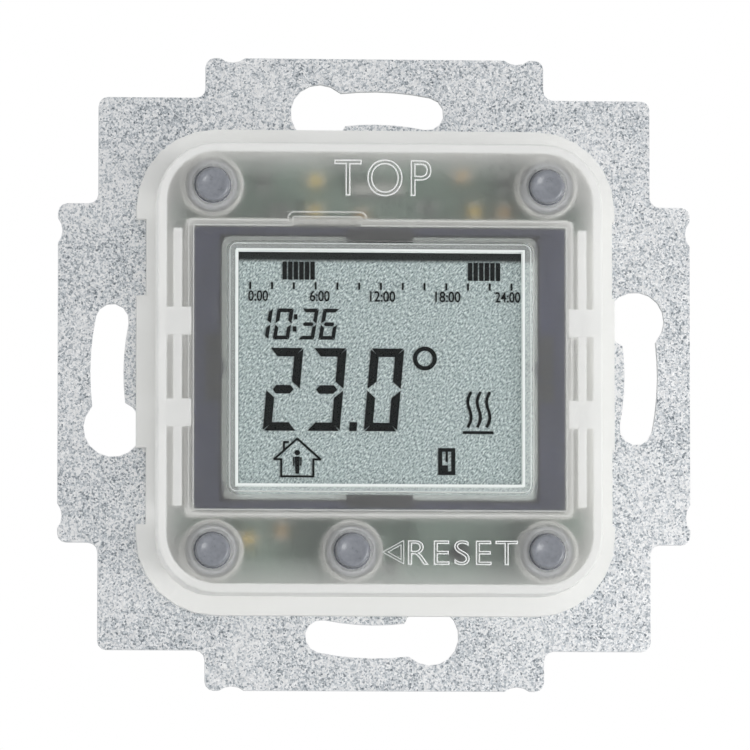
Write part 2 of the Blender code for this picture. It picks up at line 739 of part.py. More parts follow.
def control_parts():
    half = CHIP_SIZE / 2
    chip = box(
        "microcontroller",
        (-half, BOARD_FRONT - GAP - CHIP_THICK, -half),
        (half, BOARD_FRONT - GAP, half),
    )
    keep(chip, EPOXY_BLACK)
    crystal_y = BOARD_FRONT - GAP - CRYSTAL_R
    crystal = rod(
        "watch_crystal",
        (0, crystal_y, PIN_Z),
        CRYSTAL_R,
        -CRYSTAL_LENGTH / 2,
        CRYSTAL_LENGTH / 2,
        axis="X",
        sides=12,
    )
    keep(smooth(crystal), TIN)
    backup = rod(
        "backup_capacitor",
        (BACKUP_X, 0, BACKUP_Z),
        BACKUP_R,
        BOARD_BACK + GAP,
        BOARD_BACK + GAP + BACKUP_HEIGHT,
        sides=24,
    )
    keep(smooth(backup), TIN)
    sensor_place = (SENSOR_X, BOARD_FRONT - GAP - SENSOR_LENGTH, -PIN_Z)
    sensor = turned(
        "temperature_sensor",
        sensor_place,
        [
            (0.0, SENSOR_R),
            (SENSOR_R * 0.8, SENSOR_R * 0.6),
            (SENSOR_R, 0.0),
            (SENSOR_R * 0.5, -SENSOR_R),
            (SENSOR_R * 0.4, -SENSOR_LENGTH),
            (0.0, -SENSOR_LENGTH),
        ],
        sides=12,
    )
    keep(smooth(sensor), EPOXY_BLACK)


def board_link():
    """The plug and socket that carry supply and signals between the two boards."""
    width = LINK_PINS * LINK_PITCH + LINK_END
    height = LINK_HEIGHT
    z = LINK_Z
    meet = BOARD_BACK + BOARD_GAP / 2
    socket = box(
        "board_socket",
        (-width / 2, BOARD_BACK + GAP, z - height / 2),
        (width / 2, meet, z + height / 2),
    )
    header = box(
        "board_header",
        (-width / 2, meet + GAP, z - height / 2),
        (width / 2, POWER_FRONT - GAP, z + height / 2),
    )
    pin = LINK_PIN / 2
    for i in range(LINK_PINS):
        x = (i - (LINK_PINS - 1) / 2) * LINK_PITCH
        tip = BOARD_BACK + 4 * GAP
        bore = pin + GAP
        low = (x - bore, tip - GAP, z - bore)
        cut(socket, box("contact hole", low, (x + bore, meet + GAP, z + bore)))
        add(header, box("link pin", (x - pin, tip, z - pin), (x + pin, meet + 2 * GAP, z + pin)))
    keep(socket, EPOXY_BLACK)
    keep(header, EPOXY_BLACK)


# ---- power board and what it carries ----
def contact_places():
    """The distances of the terminals from the middle."""
    return [(i - (TERMINALS - 1) / 2) * TERMINAL_PITCH for i in range(TERMINALS)]


def contact_leg_z():
    """The height at which the contacts' legs run forward to the power board."""
    return BLOCK_TOP - CONTACT_LEG_FROM_TOP


def power_board():
    outline = chamfered(POWER_BOARD_SIZE, POWER_BOARD_SIZE, HOUSING_CHAMFER)
    leg = CONTACT_LEG / 2 + GAP
    z = contact_leg_z()
    holes = [rounded(2 * leg, 2 * leg, leg / 4, 1, centre=(x, z)) for x in contact_places()]
    return keep(sheet("power_board", [outline] + holes, POWER_FRONT, POWER_BACK), BOARD_GREEN)


def relay():
    """An open relay under a case: coil and yoke stand on the base and the armature leans on the yoke."""
    left = RELAY_RIGHT - RELAY_WIDTH
    bottom = RELAY_BOTTOM
    base_back = POWER_BACK + GAP + RELAY_BASE_THICK
    right = left + RELAY_WIDTH
    top = bottom + RELAY_HEIGHT
    back = POWER_BACK + GAP + RELAY_DEPTH
    base = box("relay_base", (left, POWER_BACK + GAP, bottom), (right, base_back, top))
    keep(base, EPOXY_BLACK)
    case = box("relay_case", (left, base_back + GAP, bottom), (right, back, top))
    inside = box(
        "relay inside",
        (left + RELAY_WALL, base_back, bottom + RELAY_WALL),
        (right - RELAY_WALL, back - RELAY_WALL, top - RELAY_WALL),
    )
    keep(cut(case, inside), RELAY_BLUE)
    coil_x = left + RELAY_WALL + GAP + YOKE_THICK + GAP + COIL_R
    coil_z = (bottom + top) / 2
    coil_front = base_back + GAP
    coil_back = coil_front + COIL_LENGTH
    flange = COIL_FLANGE
    core = COIL_R * 0.45
    profile = [
        (0.0, -coil_front),
        (COIL_R, -coil_front),
        (COIL_R, -coil_front - flange),
        (COIL_R * 0.85, -coil_front - flange),
        (COIL_R * 0.85, -coil_back + flange),
        (COIL_R, -coil_back + flange),
        (COIL_R, -coil_back),
        (core, -coil_back),
        (core, -coil_back - GAP),
        (0.0, -coil_back - GAP),
    ]
    keep(smooth(turned("relay_coil", (coil_x, 0, coil_z), profile, sides=20)), COPPER)
    yoke_x = left + RELAY_WALL + GAP
    half = COIL_R
    yoke = box(
        "relay_yoke",
        (yoke_x, coil_front, coil_z - half),
        (yoke_x + YOKE_THICK, coil_back + GAP, coil_z + half),
    )
    keep(yoke, TIN)
    plate_front = coil_back + 5 * GAP
    reach = 2 * COIL_R + YOKE_THICK + 2 * GAP
    armature = box(
        "relay_armature",
        (yoke_x, plate_front, coil_z - half),
        (yoke_x + reach + ARMATURE_REACH, plate_front + YOKE_THICK * 0.6, coil_z + half),
    )
    pivot = Vector((yoke_x, plate_front, coil_z))
    armature.data.transform(Matrix.Translation(-pivot))
    armature.location = pivot
    keep(armature, TIN)
    stud_x = yoke_x + reach + STUD_FROM_COIL
    stud = rod(
        "relay_contact",
        (stud_x, 0, coil_z),
        STUD_R,
        coil_front,
        coil_back + GAP - STUD_BELOW_COIL,
        sides=12,
    )
    keep(smooth(stud), TIN)


def power_parts():
    """The other parts stand clear of the relay and of the board's edge."""
    front = POWER_BACK + GAP
    edge = POWER_BOARD_SIZE / 2
    film_right = edge - FILM_FROM_SIDE
    film_top = edge - FILM_FROM_TOP
    film_bottom = film_top - FILM_HEIGHT
    film_low = (RELAY_RIGHT + FILM_FROM_RELAY, front, film_bottom)
    film_high = (film_right, front + FILM_DEPTH, film_top)
    keep(box("suppression_capacitor", film_low, film_high), CAP_YELLOW)
    smoothing = rod(
        "smoothing_capacitor",
        (RELAY_RIGHT + SMOOTHING_FROM_RELAY + SMOOTHING_R, 0, film_bottom - SMOOTHING_FROM_FILM - SMOOTHING_R),
        SMOOTHING_R,
        front,
        front + SMOOTHING_HEIGHT,
        sides=20,
    )
    keep(smooth(smoothing), EPOXY_BLACK)
    disc = rod(
        "varistor",
        (VARISTOR_LEFT + VARISTOR_R, front + VARISTOR_R + VARISTOR_OFF_BOARD, 0),
        VARISTOR_R,
        0.0,
        VARISTOR_THICK,
        axis="Z",
        sides=20,
    )
    keep(smooth(disc), VARISTOR_BLUE)
    fuse = rod(
        "fuse",
        (-edge + FUSE_FROM_SIDE, 0, RELAY_TOP + FUSE_ROOM_BELOW * STACK_ROOM + FUSE_R),
        FUSE_R,
        front,
        front + FUSE_HEIGHT,
        sides=20,
    )
    keep(smooth(fuse), EPOXY_BLACK)


# ---- terminals ----
def terminal_block():
    half = BLOCK_WIDTH / 2
    block = box(
        "terminal_block",
        (-half, BLOCK_FRONT, BLOCK_BOTTOM),
        (half, HOUSING_DEPTH, BLOCK_TOP),
    )
    wall = BLOCK_WALL
    leg = CONTACT_LEG / 2 + GAP
    leg_z = contact_leg_z()
    wire_y = CAGE_FRONT + CAGE_WALL + (wire_space() / 2)
    cage_z = cage_middle()
    for x in contact_places():
        cell = box(
            "cell",
            (x - CELL_WIDTH / 2, CELL_FRONT, BLOCK_BOTTOM + wall),
            (x + CELL_WIDTH / 2, CELL_BACK, BLOCK_TOP + GAP),
        )
        slot = box(
            "leg slot",
            (x - leg, BLOCK_FRONT - GAP, leg_z - leg),
            (x + leg, CELL_FRONT + GAP, leg_z + leg),
        )
        entry = box(
            "wire entry",
            (x - WIRE_ENTRY / 2, wire_y - WIRE_ENTRY / 2, BLOCK_BOTTOM - GAP),
            (x + WIRE_ENTRY / 2, wire_y + WIRE_ENTRY / 2, BLOCK_BOTTOM + wall + GAP),
        )
        way = rod(
            "screw way",
            (x, 0, cage_z),
            SCREW_HEAD_R + GAP,
            CELL_BACK - GAP,
            HOUSING_DEPTH + GAP,
            sides=20,
        )
        cut(block, [cell, slot, entry, way])
    keep(block, DARK_ABS)


def cage_middle():
    """The height of the screws' axes."""
    return BLOCK_BOTTOM + BLOCK_WALL + GAP + CAGE_HEIGHT / 2


def wire_space():
    """What the wire has between the cage's lower wall and the contact when the clamp is open."""
    return CAGE_DEPTH - CAGE_WALL - CAGE_WALL * 1.25 - CONTACT_THICK - CAGE_BEHIND_SCREW


def terminals():
    cage_z = cage_middle()
    cage_back = CAGE_FRONT + CAGE_DEPTH
    contact_front = CAGE_FRONT + CAGE_WALL + wire_space()
    contact_back = contact_front + CONTACT_THICK
    head_front = cage_back + CAGE_TRAVEL + GAP / 3
    half_width = CELL_WIDTH / 2 - 2 * GAP / 3
    for number, x in enumerate(contact_places(), start=1):
        cage = box(
            f"clamp_cage_{number}",
            (x - half_width, CAGE_FRONT, cage_z - CAGE_HEIGHT / 2),
            (x + half_width, cage_back, cage_z + CAGE_HEIGHT / 2),
        )
        inner = half_width - CAGE_WALL
        window = box(
            "cage window",
            (x - inner, CAGE_FRONT + CAGE_WALL, cage_z - CAGE_HEIGHT),
            (x + inner, cage_back - CAGE_WALL * 1.25, cage_z + CAGE_HEIGHT),
        )
        thread = rod(
            "cage thread",
            (x, 0, cage_z),
            SCREW_R + GAP / 3,
            cage_back - 2 * CAGE_WALL,
            cage_back + GAP,
            sides=16,
        )
        keep(cut(cage, [window, thread]), TIN)

        tip = contact_back + GAP
        head_back = head_front + SCREW_HEAD_THICK
        profile = [
            (0.0, -tip),
            (SCREW_R, -tip),
            (SCREW_R, -head_front),
            (SCREW_HEAD_R, -head_front),
            (SCREW_HEAD_R, -head_back),
            (0.0, -head_back),
        ]
        screw = turned(f"terminal_screw_{number}", (x, 0, cage_z), profile, sides=20)
        slot = box(
            "screw slot",
            (x - SCREW_SLOT / 2, head_back - SCREW_SLOT_DEPTH, cage_z - SCREW_HEAD_R - GAP),
            (x + SCREW_SLOT / 2, head_back + GAP, cage_z + SCREW_HEAD_R + GAP),
        )
        keep(smooth(cut(screw, slot)), TIN)

        half = min(CONTACT_WIDTH / 2, inner - GAP)
        leg_z = contact_leg_z()
        contact = box(
            f"contact_bar_{number}",
            (x - half, contact_front, cage_z - CAGE_HEIGHT / 2),
            (x + half, contact_back, leg_z + CONTACT_LEG / 2),
        )
        leg = box(
            "contact leg",
            (x - CONTACT_LEG / 2, POWER_FRONT - GAP, leg_z - CONTACT_LEG / 2),
            (x + CONTACT_LEG / 2, contact_front + CONTACT_THICK / 2, leg_z + CONTACT_LEG / 2),
        )
        keep(add(contact, leg), BRASS)


# ---- rear housing ----
def rear_housing():
    front = GAP
    flange_back = front + HOUSING_FLANGE_THICK
    body = chamfered(HOUSING_SIZE, HOUSING_SIZE, HOUSING_CHAMFER)
    housing = sheet("rear_housing", [body], front, HOUSING_DEPTH)
    flange = rounded(HOUSING_FLANGE, HOUSING_FLANGE, HOUSING_FLANGE_R, 5)
    add(housing, sheet("housing flange", [flange], front, flange_back))
    shelf_z = BLOCK_TOP + GAP
    shelf_y = BLOCK_FRONT - GAP
    far = HOUSING_SIZE
    step = box("terminal step", (-far, shelf_y, -far), (far, HOUSING_DEPTH + GAP, shelf_z))
    cut(housing, step)
    wall = HOUSING_WALL
    inner_size = HOUSING_SIZE - 2 * wall
    inner = chamfered(inner_size, inner_size, HOUSING_CHAMFER - wall * (2 - math.sqrt(2)))
    cavity = sheet("housing cavity", [inner], front - GAP, HOUSING_DEPTH - wall)
    cut(cavity, box("step wall", (-far, shelf_y - wall, -far), (far, HOUSING_DEPTH, shelf_z + wall)))
    cut(housing, cavity)
    leg = CONTACT_LEG / 2 + GAP
    leg_z = contact_leg_z()
    for x in contact_places():
        low = (x - leg, shelf_y - wall - GAP, leg_z - leg)
        hole = box("leg hole", low, (x + leg, shelf_y + GAP, leg_z + leg))
        cut(housing, hole)
    arm_back = FLANGE_BACK + ARM_LENGTH
    for side in (-1, 1):
        for level in (-1, 1):
            ends = sorted((level * (LATCH_NEAR - SNAP), level * (LATCH_FAR + SNAP)))
            passage = span_box(
                "arm passage",
                side,
                HOUSING_SIZE / 2,
                ARM_OUT + SNAP,
                front - GAP,
                flange_back + GAP,
                *ends,
            )
            window = span_box(
                "hook window",
                side,
                ARM_IN - HOOK_DEPTH - SNAP,
                HOUSING_SIZE / 2 + GAP,
                arm_back - HOOK_THICK - SNAP,
                arm_back + SNAP,
                *ends,
            )
            cut(housing, [passage, window])
    return keep(housing, HOUSING_WHITE)


mounting_frame()
front_cover()
display_window()
lcd_panel()
lcd_holder()
zebra_strips()
push_pins()
control_board()
control_parts()
board_link()
power_board()
relay()
power_parts()
terminal_block()
terminals()
rear_housing()
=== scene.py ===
import math
import random

import bmesh
import bpy
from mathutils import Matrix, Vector


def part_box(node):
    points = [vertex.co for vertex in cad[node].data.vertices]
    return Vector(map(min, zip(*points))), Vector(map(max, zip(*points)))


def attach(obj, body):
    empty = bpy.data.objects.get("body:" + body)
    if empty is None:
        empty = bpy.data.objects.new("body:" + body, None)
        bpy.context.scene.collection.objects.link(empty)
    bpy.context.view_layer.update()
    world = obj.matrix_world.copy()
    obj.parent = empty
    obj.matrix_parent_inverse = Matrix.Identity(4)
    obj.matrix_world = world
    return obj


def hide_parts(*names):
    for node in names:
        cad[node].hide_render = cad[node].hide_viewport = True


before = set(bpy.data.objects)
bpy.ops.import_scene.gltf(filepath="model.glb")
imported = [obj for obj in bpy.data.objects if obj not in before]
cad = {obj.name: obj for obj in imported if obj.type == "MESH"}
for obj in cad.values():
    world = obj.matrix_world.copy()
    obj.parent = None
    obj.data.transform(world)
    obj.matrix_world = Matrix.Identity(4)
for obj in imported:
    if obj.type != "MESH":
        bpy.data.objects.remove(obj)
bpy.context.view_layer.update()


# The studio: a pale floor well below the thermostat, which hangs as on a clear wall. One even white
# surround and two large soft boxes light it, and the camera looks slightly up from the lower left.
def linear(hex_colour, alpha=1.0):
    """An sRGB hex colour as the linear values that Blender works in."""
    steps = [int(hex_colour[i : i + 2], 16) / 255 for i in (1, 3, 5)]
    turned = [c / 12.92 if c <= 0.04045 else ((c + 0.055) / 1.055) ** 2.4 for c in steps]
    return (*turned, alpha)


def put(tree, kind, settings, links=None):
    """Adds a node with its settings and links. A ramp's stops are given as (place, colour) pairs."""
    node = tree.nodes.new("ShaderNode" + kind)
    for key, value in settings.items():
        if key == "stops":
            while len(node.color_ramp.elements) < len(value):
                node.color_ramp.elements.new(0.5)
            for stop, (place, colour) in zip(node.color_ramp.elements, value):
                stop.position = place
                stop.color = colour
        elif isinstance(key, str) and hasattr(node, key):
            setattr(node, key, value)
        else:
            node.inputs[key].default_value = value
    for key, source in (links or {}).items():
        tree.links.new(source, node.inputs[key])
    return node


def finish_named(name):
    """A new material, its empty node tree, and the place on the piece as that tree sees it."""
    material = bpy.data.materials.new(name)
    material.use_nodes = True
    tree = material.node_tree
    tree.nodes.clear()
    return material, tree, put(tree, "TexCoord", {}).outputs["Object"]


def shown(material, shader):
    """The material, with a shader as its surface."""
    put(material.node_tree, "OutputMaterial", {}, {"Surface": shader.outputs[0]})
    return material


def moulded(name, colour, paler, roughness, grain, depth, coat=0.0):
    """Injection-moulded plastic. The mould's spark-eroded grain breaks up its shine, and the colour
    clouds a little where the melt flowed."""
    material, tree, place = finish_named(name)
    fine = put(tree, "TexNoise", {"Scale": 1 / grain, "Detail": 3.0, "Roughness": 0.6}, {"Vector": place})
    flow = put(tree, "TexNoise", {"Scale": 90.0, "Detail": 2.0, "Distortion": 0.6}, {"Vector": place})
    tint = put(
        tree,
        "Mix",
        {"data_type": "RGBA", 6: linear(colour), 7: linear(paler)},
        {0: flow.outputs["Fac"]},
    )
    shine = put(
        tree,
        "MapRange",
        {"To Min": roughness - 0.08, "To Max": roughness + 0.08},
        {"Value": fine.outputs["Fac"]},
    )
    bump = put(tree, "Bump", {"Strength": 0.5, "Distance": depth}, {"Height": fine.outputs["Fac"]})
    plastic = put(
        tree,
        "BsdfPrincipled",
        {"IOR": 1.5, "Coat Weight": coat, "Coat Roughness": 0.2},
        {"Base Color": tint.outputs[2], "Roughness": shine.outputs[0], "Normal": bump.outputs[0]},
    )
    return shown(material, plastic)


def carry(material, *nodes):
    """Gives CAD pieces their finish."""
    for node in nodes:
        piece = cad[node]
        if not piece.material_slots:
            piece.data.materials.append(material)
        for held in piece.material_slots:
            held.material = material


FLOOR_DROP = 0.150
FLOOR_REACH = 6.0
floor_mesh = bpy.data.meshes.new("studio_floor")
shape = bmesh.new()
bmesh.ops.create_grid(shape, x_segments=1, y_segments=1, size=FLOOR_REACH)
bmesh.ops.translate(shape, verts=shape.verts, vec=(0, 0, -FLOOR_DROP))
shape.to_mesh(floor_mesh)
shape.free()
floor = bpy.data.objects.new("studio_floor", floor_mesh)
bpy.context.scene.collection.objects.link(floor)
# matt white painted board, with a trace of roller texture
floor_mesh.materials.append(moulded("white_painted_board", "#F4F4F3", "#F8F8F8", 0.7, 0.004, 0.0002))

world = bpy.data.worlds.new("studio")
world.use_nodes = True
air = world.node_tree
air.nodes.clear()
seen = put(air, "LightPath", {}).outputs["Is Camera Ray"]
white = put(air, "Background", {"Color": (1, 1, 1, 1), "Strength": 1.0})
soft = put(air, "Background", {"Color": (0.98, 0.99, 1, 1), "Strength": 0.62})
around = put(air, "MixShader", {}, {0: seen, 1: soft.outputs[0], 2: white.outputs[0]})
put(air, "OutputWorld", {}, {"Surface": around.outputs[0]})
bpy.context.scene.world = world
bpy.context.scene.view_settings.view_transform = "Standard"


def soft_box(name, place, width, height, watts):
    """A large soft box that faces the middle of the thermostat."""
    lamp = bpy.data.lights.new(name, "AREA")
    lamp.shape = "RECTANGLE"
    lamp.size = width
    lamp.size_y = height
    lamp.energy = watts
    box = bpy.data.objects.new(name, lamp)
    box.location = place
    box.rotation_mode = "QUATERNION"
    box.rotation_quaternion = (-Vector(place)).to_track_quat("-Z", "Y")
    bpy.context.scene.collection.objects.link(box)


soft_box("soft_box_right", (0.30, -0.28, -0.20), 0.36, 0.40, 2.6)
soft_box("soft_box_left", (-0.46, -0.30, -0.10), 0.30, 0.40, 0.5)

AZIMUTH = math.radians(-4.3)
ELEVATION = math.radians(-4.9)
CAMERA_DISTANCE = 1.0
ACROSS_VIEW = 0.0841  # the width of the picture at the steel frame
camera = bpy.data.cameras.new("camera")
camera.sensor_width = 36.0
camera.lens = camera.sensor_width * CAMERA_DISTANCE / ACROSS_VIEW
camera.clip_start = 0.05
camera.clip_end = 20.0
eye = bpy.data.objects.new("camera", camera)
back = Vector(
    (
        math.sin(AZIMUTH) * math.cos(ELEVATION),
        -math.cos(AZIMUTH) * math.cos(ELEVATION),
        math.sin(ELEVATION),
    )
)
LOOK_AT = Vector((0.0001, 0.0, 0.0))
eye.location = LOOK_AT + back * CAMERA_DISTANCE
eye.rotation_mode = "QUATERNION"
eye.rotation_quaternion = (-back).to_track_quat("-Z", "Y")
bpy.context.scene.collection.objects.link(eye)
bpy.context.scene.camera = eye


# The rear housing, a light grey box moulded in polycarbonate that sits in the round wall box. Its
# mould was spark-eroded, and the ejector pins left shallow rings on its back.
def placed(name, form, material):
    """Puts a mesh or a curve with its finish in the scene, as a piece that rides on the body."""
    form.materials.append(material)
    piece = bpy.data.objects.new(name, form)
    bpy.context.scene.collection.objects.link(piece)
    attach(piece, "body")


def ring(name, centre, radius, line, axis_y, material):
    """A fine raised ring that stands on a face square to Y."""
    mesh = bpy.data.meshes.new(name)
    shape = bmesh.new()
    around_steps = 40
    line_steps = 8
    loops = []
    for i in range(around_steps):
        turn = math.tau * i / around_steps
        loop = []
        for j in range(line_steps):
            roll = math.tau * j / line_steps
            reach = radius + line * math.cos(roll)
            x, z = centre[0] + reach * math.cos(turn), centre[1] + reach * math.sin(turn)
            loop.append(shape.verts.new((x, axis_y + line * math.sin(roll), z)))
        loops.append(loop)
    for i in range(around_steps):
        for j in range(line_steps):
            near, far = loops[i], loops[(i + 1) % around_steps]
            following = (j + 1) % line_steps
            shape.faces.new((near[j], near[following], far[following], far[j]))
    bmesh.ops.recalc_face_normals(shape, faces=shape.faces)
    shape.to_mesh(mesh)
    shape.free()
    mesh.shade_smooth()
    placed(name, mesh, material)


# light grey polycarbonate, spark-eroded: an even, dull, slightly chalky face
housing_plastic = moulded("grey_polycarbonate_spark_eroded", "#B9BAB6", "#C3C4C0", 0.55, 0.00035, 0.00003)
carry(housing_plastic, "rear_housing")
housing_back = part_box("rear_housing")[1].y
EJECTOR_R = 0.0020
EJECTOR_LINE = 0.00009
EJECTORS_AT = ((-0.0125, 0.0150), (-0.0125, 0.0), (0.0125, 0.0150), (0.0125, 0.0))
for number, centre in enumerate(EJECTORS_AT, 1):
    name = f"housing_ejector_mark_{number}"
    ring(name, centre, EJECTOR_R, EJECTOR_LINE, housing_back, housing_plastic)


# The terminal block, moulded in dark glass-filled nylon, with a numeral above each terminal. Zinc
# plated screws lift nickel plated cages that clamp each wire against a plated brass bar.
def letters(name, words, room, front, material, deep=0.0, line=0.0, weight=0.0, facing=1):
    """Lettering that fills a rectangle on a face square to Y: solid, or as a fine raised outline."""
    left, right, bottom, top = room
    curve = bpy.data.curves.new(name, "FONT")
    curve.body = words
    curve.offset = weight
    if line:
        curve.space_character = 1.12
    holder = bpy.data.objects.new(name, curve)
    bpy.context.scene.collection.objects.link(holder)
    bpy.context.view_layer.update()
    plain = bpy.data.meshes.new_from_object(holder.evaluated_get(bpy.context.evaluated_depsgraph_get()))
    xs = [v.co.x for v in plain.vertices]
    ys = [v.co.y for v in plain.vertices]
    across = (right - left) / (max(xs) - min(xs))
    up = (top - bottom) / (max(ys) - min(ys))
    if line:
        curve.fill_mode = "NONE"
        curve.bevel_depth = line / up
        curve.bevel_resolution = 2
    else:
        curve.extrude = deep / 2 / up
    bpy.context.view_layer.update()
    mesh = bpy.data.meshes.new_from_object(holder.evaluated_get(bpy.context.evaluated_depsgraph_get()))
    bpy.data.objects.remove(holder)
    bpy.data.curves.remove(curve)
    for v in mesh.vertices:
        x = left + (v.co.x - min(xs)) * across
        z = bottom + (v.co.y - min(ys)) * up
        if facing < 0:
            x = left + right - x
        v.co = (x, front - facing * v.co.z * up, z)
    mesh.name = name
    if line:
        mesh.shade_smooth()
    placed(name, mesh, material)


def ramp(tree, share, *stops):
    """A colour that runs through stops, each a place and a hex colour, as a share goes from 0 to 1."""
    return put(tree, "ValToRGB", {"stops": [(at, linear(hue)) for at, hue in stops]}, {"Fac": share})


def plated(name, colour, paler, roughness, grain, depth):
    """Plated metal. The plating grows in fine crystals, so its reflection is soft and faintly grained."""
    material, tree, place = finish_named(name)
    crystals = put(tree, "TexNoise", {"Scale": 1 / grain, "Detail": 4.0}, {"Vector": place})
    tint = ramp(tree, crystals.outputs["Fac"], (0.35, colour), (0.65, paler))
    # slots and holes are darkened towards dull grey by ambient occlusion: painted shade in the recesses
    painted_recess_shade = put(tree, "AmbientOcclusion", {"Distance": 0.0008, "samples": 8})
    dulled = put(
        tree,
        "Mix",
        {"data_type": "RGBA", 6: linear("#4A4845")},
        {0: painted_recess_shade.outputs["AO"], 7: tint.outputs[0]},
    )
    shine = put(
        tree,
        "MapRange",
        {"To Min": roughness - 0.07, "To Max": roughness + 0.1},
        {"Value": crystals.outputs["Fac"]},
    )
    bump = put(tree, "Bump", {"Strength": 0.4, "Distance": depth}, {"Height": crystals.outputs["Fac"]})
    metal = put(
        tree,
        "BsdfPrincipled",
        {"Metallic": 1.0},
        {"Base Color": dulled.outputs[2], "Roughness": shine.outputs[0], "Normal": bump.outputs[0]},
    )
    return shown(material, metal)


# glass-filled nylon, moulded: dark, with short pale fibres just under a dull skin
terminal_plastic = moulded("dark_glass_filled_nylon", "#3B3C3F", "#45464A", 0.5, 0.0003, 0.00004)
carry(terminal_plastic, "terminal_block")
# zinc plated and clear passivated: bluish white, softly bright
screw_steel = plated("zinc_plated_screw_steel", "#B4B7BB", "#D6D8DA", 0.28, 0.0004, 0.00001)
# nickel plated: a warmer, brighter white than zinc
clamp_steel = plated("nickel_plated_clamp_steel", "#B9B4AA", "#D2CEC6", 0.22, 0.0005, 0.00001)
# tin plated brass: yellow showing through a thin white plating
contact_brass = plated("tin_plated_brass", "#C2B58E", "#D9D0B4", 0.3, 0.0004, 0.00001)
# white foil stamped on to the raised numerals
numeral_white = moulded("white_hot_stamped_foil", "#D4D5D3", "#E2E3E1", 0.45, 0.0003, 0.00002)
block_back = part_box("terminal_block")[1].y
NUMERAL_HEIGHT = 0.0014
NUMERAL_WIDTH = 0.0010
NARROW_ONE = 0.35  # the figure 1 is this much narrower than the others
NUMERAL_GAP = 0.0016  # from the top of a screw to its numeral
NUMERAL_THICK = 0.0003
NUMERAL_RISE = 0.0001  # from the block's face to the middle of the numeral's thickness
NUMERAL_WEIGHT = 0.02
for number in range(1, 6):
    carry(screw_steel, f"terminal_screw_{number}")
    carry(clamp_steel, f"clamp_cage_{number}")
    carry(contact_brass, f"contact_bar_{number}")
    screw_low, screw_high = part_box(f"terminal_screw_{number}")
    middle = (screw_low.x + screw_high.x) / 2
    foot = screw_high.z + NUMERAL_GAP
    figure = str(6 - number)
    width = NUMERAL_WIDTH * (NARROW_ONE if figure == "1" else 1.0)
    letters(
        f"terminal_numeral_{number}",
        figure,
        (middle - width / 2, middle + width / 2, foot, foot + NUMERAL_HEIGHT),
        block_back + NUMERAL_RISE,
        numeral_white,
        deep=NUMERAL_THICK,
        weight=NUMERAL_WEIGHT,
        facing=-1,
    )


# The power board with its relay and mains parts. The board is woven glass and epoxy under green
# solder mask; the parts are moulded, wound or dipped, and soldered to it.
def block(name, low, high, rim, material):
    """A small moulded box with its edges rounded, on the body."""
    mesh = bpy.data.meshes.new(name)
    shape = bmesh.new()
    bmesh.ops.create_cube(shape, size=1.0)
    size = Vector(high) - Vector(low)
    middle = (Vector(high) + Vector(low)) / 2
    for v in shape.verts:
        v.co = middle + Vector((v.co.x * size.x, v.co.y * size.y, v.co.z * size.z))
    bmesh.ops.bevel(shape, geom=shape.edges[:], offset=rim, segments=2, profile=0.5, affect="EDGES")
    shape.to_mesh(mesh)
    shape.free()
    placed(name, mesh, material)


def bands(period):
    """The scale at which a wave texture's bands repeat after a given length."""
    return math.pi / 10 / period


def solder_mask_board():
    """Green solder mask over a glass weave. Copper tracks show through it as paler green lines."""
    material, tree, place = finish_named("green_solder_mask_printed")
    # tracks 0.6 mm wide run up and down at twice that pitch, past patches of solid copper 5 mm across
    tracks = put(
        tree,
        "TexWave",
        {"bands_direction": "X", "Scale": bands(0.00127), "Distortion": 1.2, "Detail Scale": 0.15},
        {"Vector": place},
    )
    patches = put(tree, "TexVoronoi", {"distance": "CHEBYCHEV", "Scale": 1 / 0.005}, {"Vector": place})
    patch = put(tree, "SeparateColor", {}, {0: patches.outputs["Color"]})
    summed = {0: tracks.outputs["Fac"], 2: patch.outputs[0]}
    metal = put(tree, "Math", {"operation": "MULTIPLY_ADD", 1: 0.6}, summed)
    copper = ramp(tree, metal.outputs[0], (0.72, "#4A5F52"), (0.82, "#82968A"))
    weave = put(tree, "TexNoise", {"Scale": 1 / 0.0004, "Detail": 2.0}, {"Vector": place})
    bump = put(tree, "Bump", {"Strength": 0.3, "Distance": 0.00003}, {"Height": weave.outputs["Fac"]})
    mask = put(
        tree,
        "BsdfPrincipled",
        {"Roughness": 0.32, "IOR": 1.5, "Coat Weight": 0.3, "Coat Roughness": 0.15},
        {"Base Color": copper.outputs[0], "Normal": bump.outputs[0]},
    )
    return shown(material, mask)


def wound_wire():
    """Enamelled copper, wound in turns 0.1 mm apart: each turn is painted lighter along its crest and darker
    in its groove, a painted highlight and shade over the bump.
    """
    material, tree, place = finish_named("enamelled_copper_wound")
    winding = {"bands_direction": "X", "Scale": bands(0.0001), "Detail": 0.0}
    turns = put(tree, "TexWave", winding, {"Vector": place})
    # painted highlight and shade along each turn
    painted_turn_light = ramp(tree, turns.outputs["Fac"], (0.0, "#7A3A16"), (1.0, "#C8763C"))
    bump = put(tree, "Bump", {"Strength": 0.8, "Distance": 0.00008}, {"Height": turns.outputs["Fac"]})
    wire = put(
        tree,
        "BsdfPrincipled",
        {"Metallic": 1.0, "Roughness": 0.3, "Coat Weight": 0.6, "Coat Roughness": 0.1},
        {"Base Color": painted_turn_light.outputs[0], "Normal": bump.outputs[0]},
    )
    return shown(material, wire)


board_green = solder_mask_board()
carry(board_green, "power_board", "control_board")
# epoxy moulding compound: black, dull, with a fine sandy skin
black_epoxy = moulded("black_epoxy_moulded", "#17171A", "#222226", 0.5, 0.0003, 0.00003)
carry(black_epoxy, "relay_base", "smoothing_capacitor", "fuse", "board_socket", "board_header")
carry(black_epoxy, "microcontroller", "temperature_sensor")
# thin blue polyester case, gloss moulded
relay_blue = moulded("blue_polyester_gloss_moulded", "#23508C", "#2B5A98", 0.25, 0.0006, 0.00001, coat=0.4)
carry(relay_blue, "relay_case")
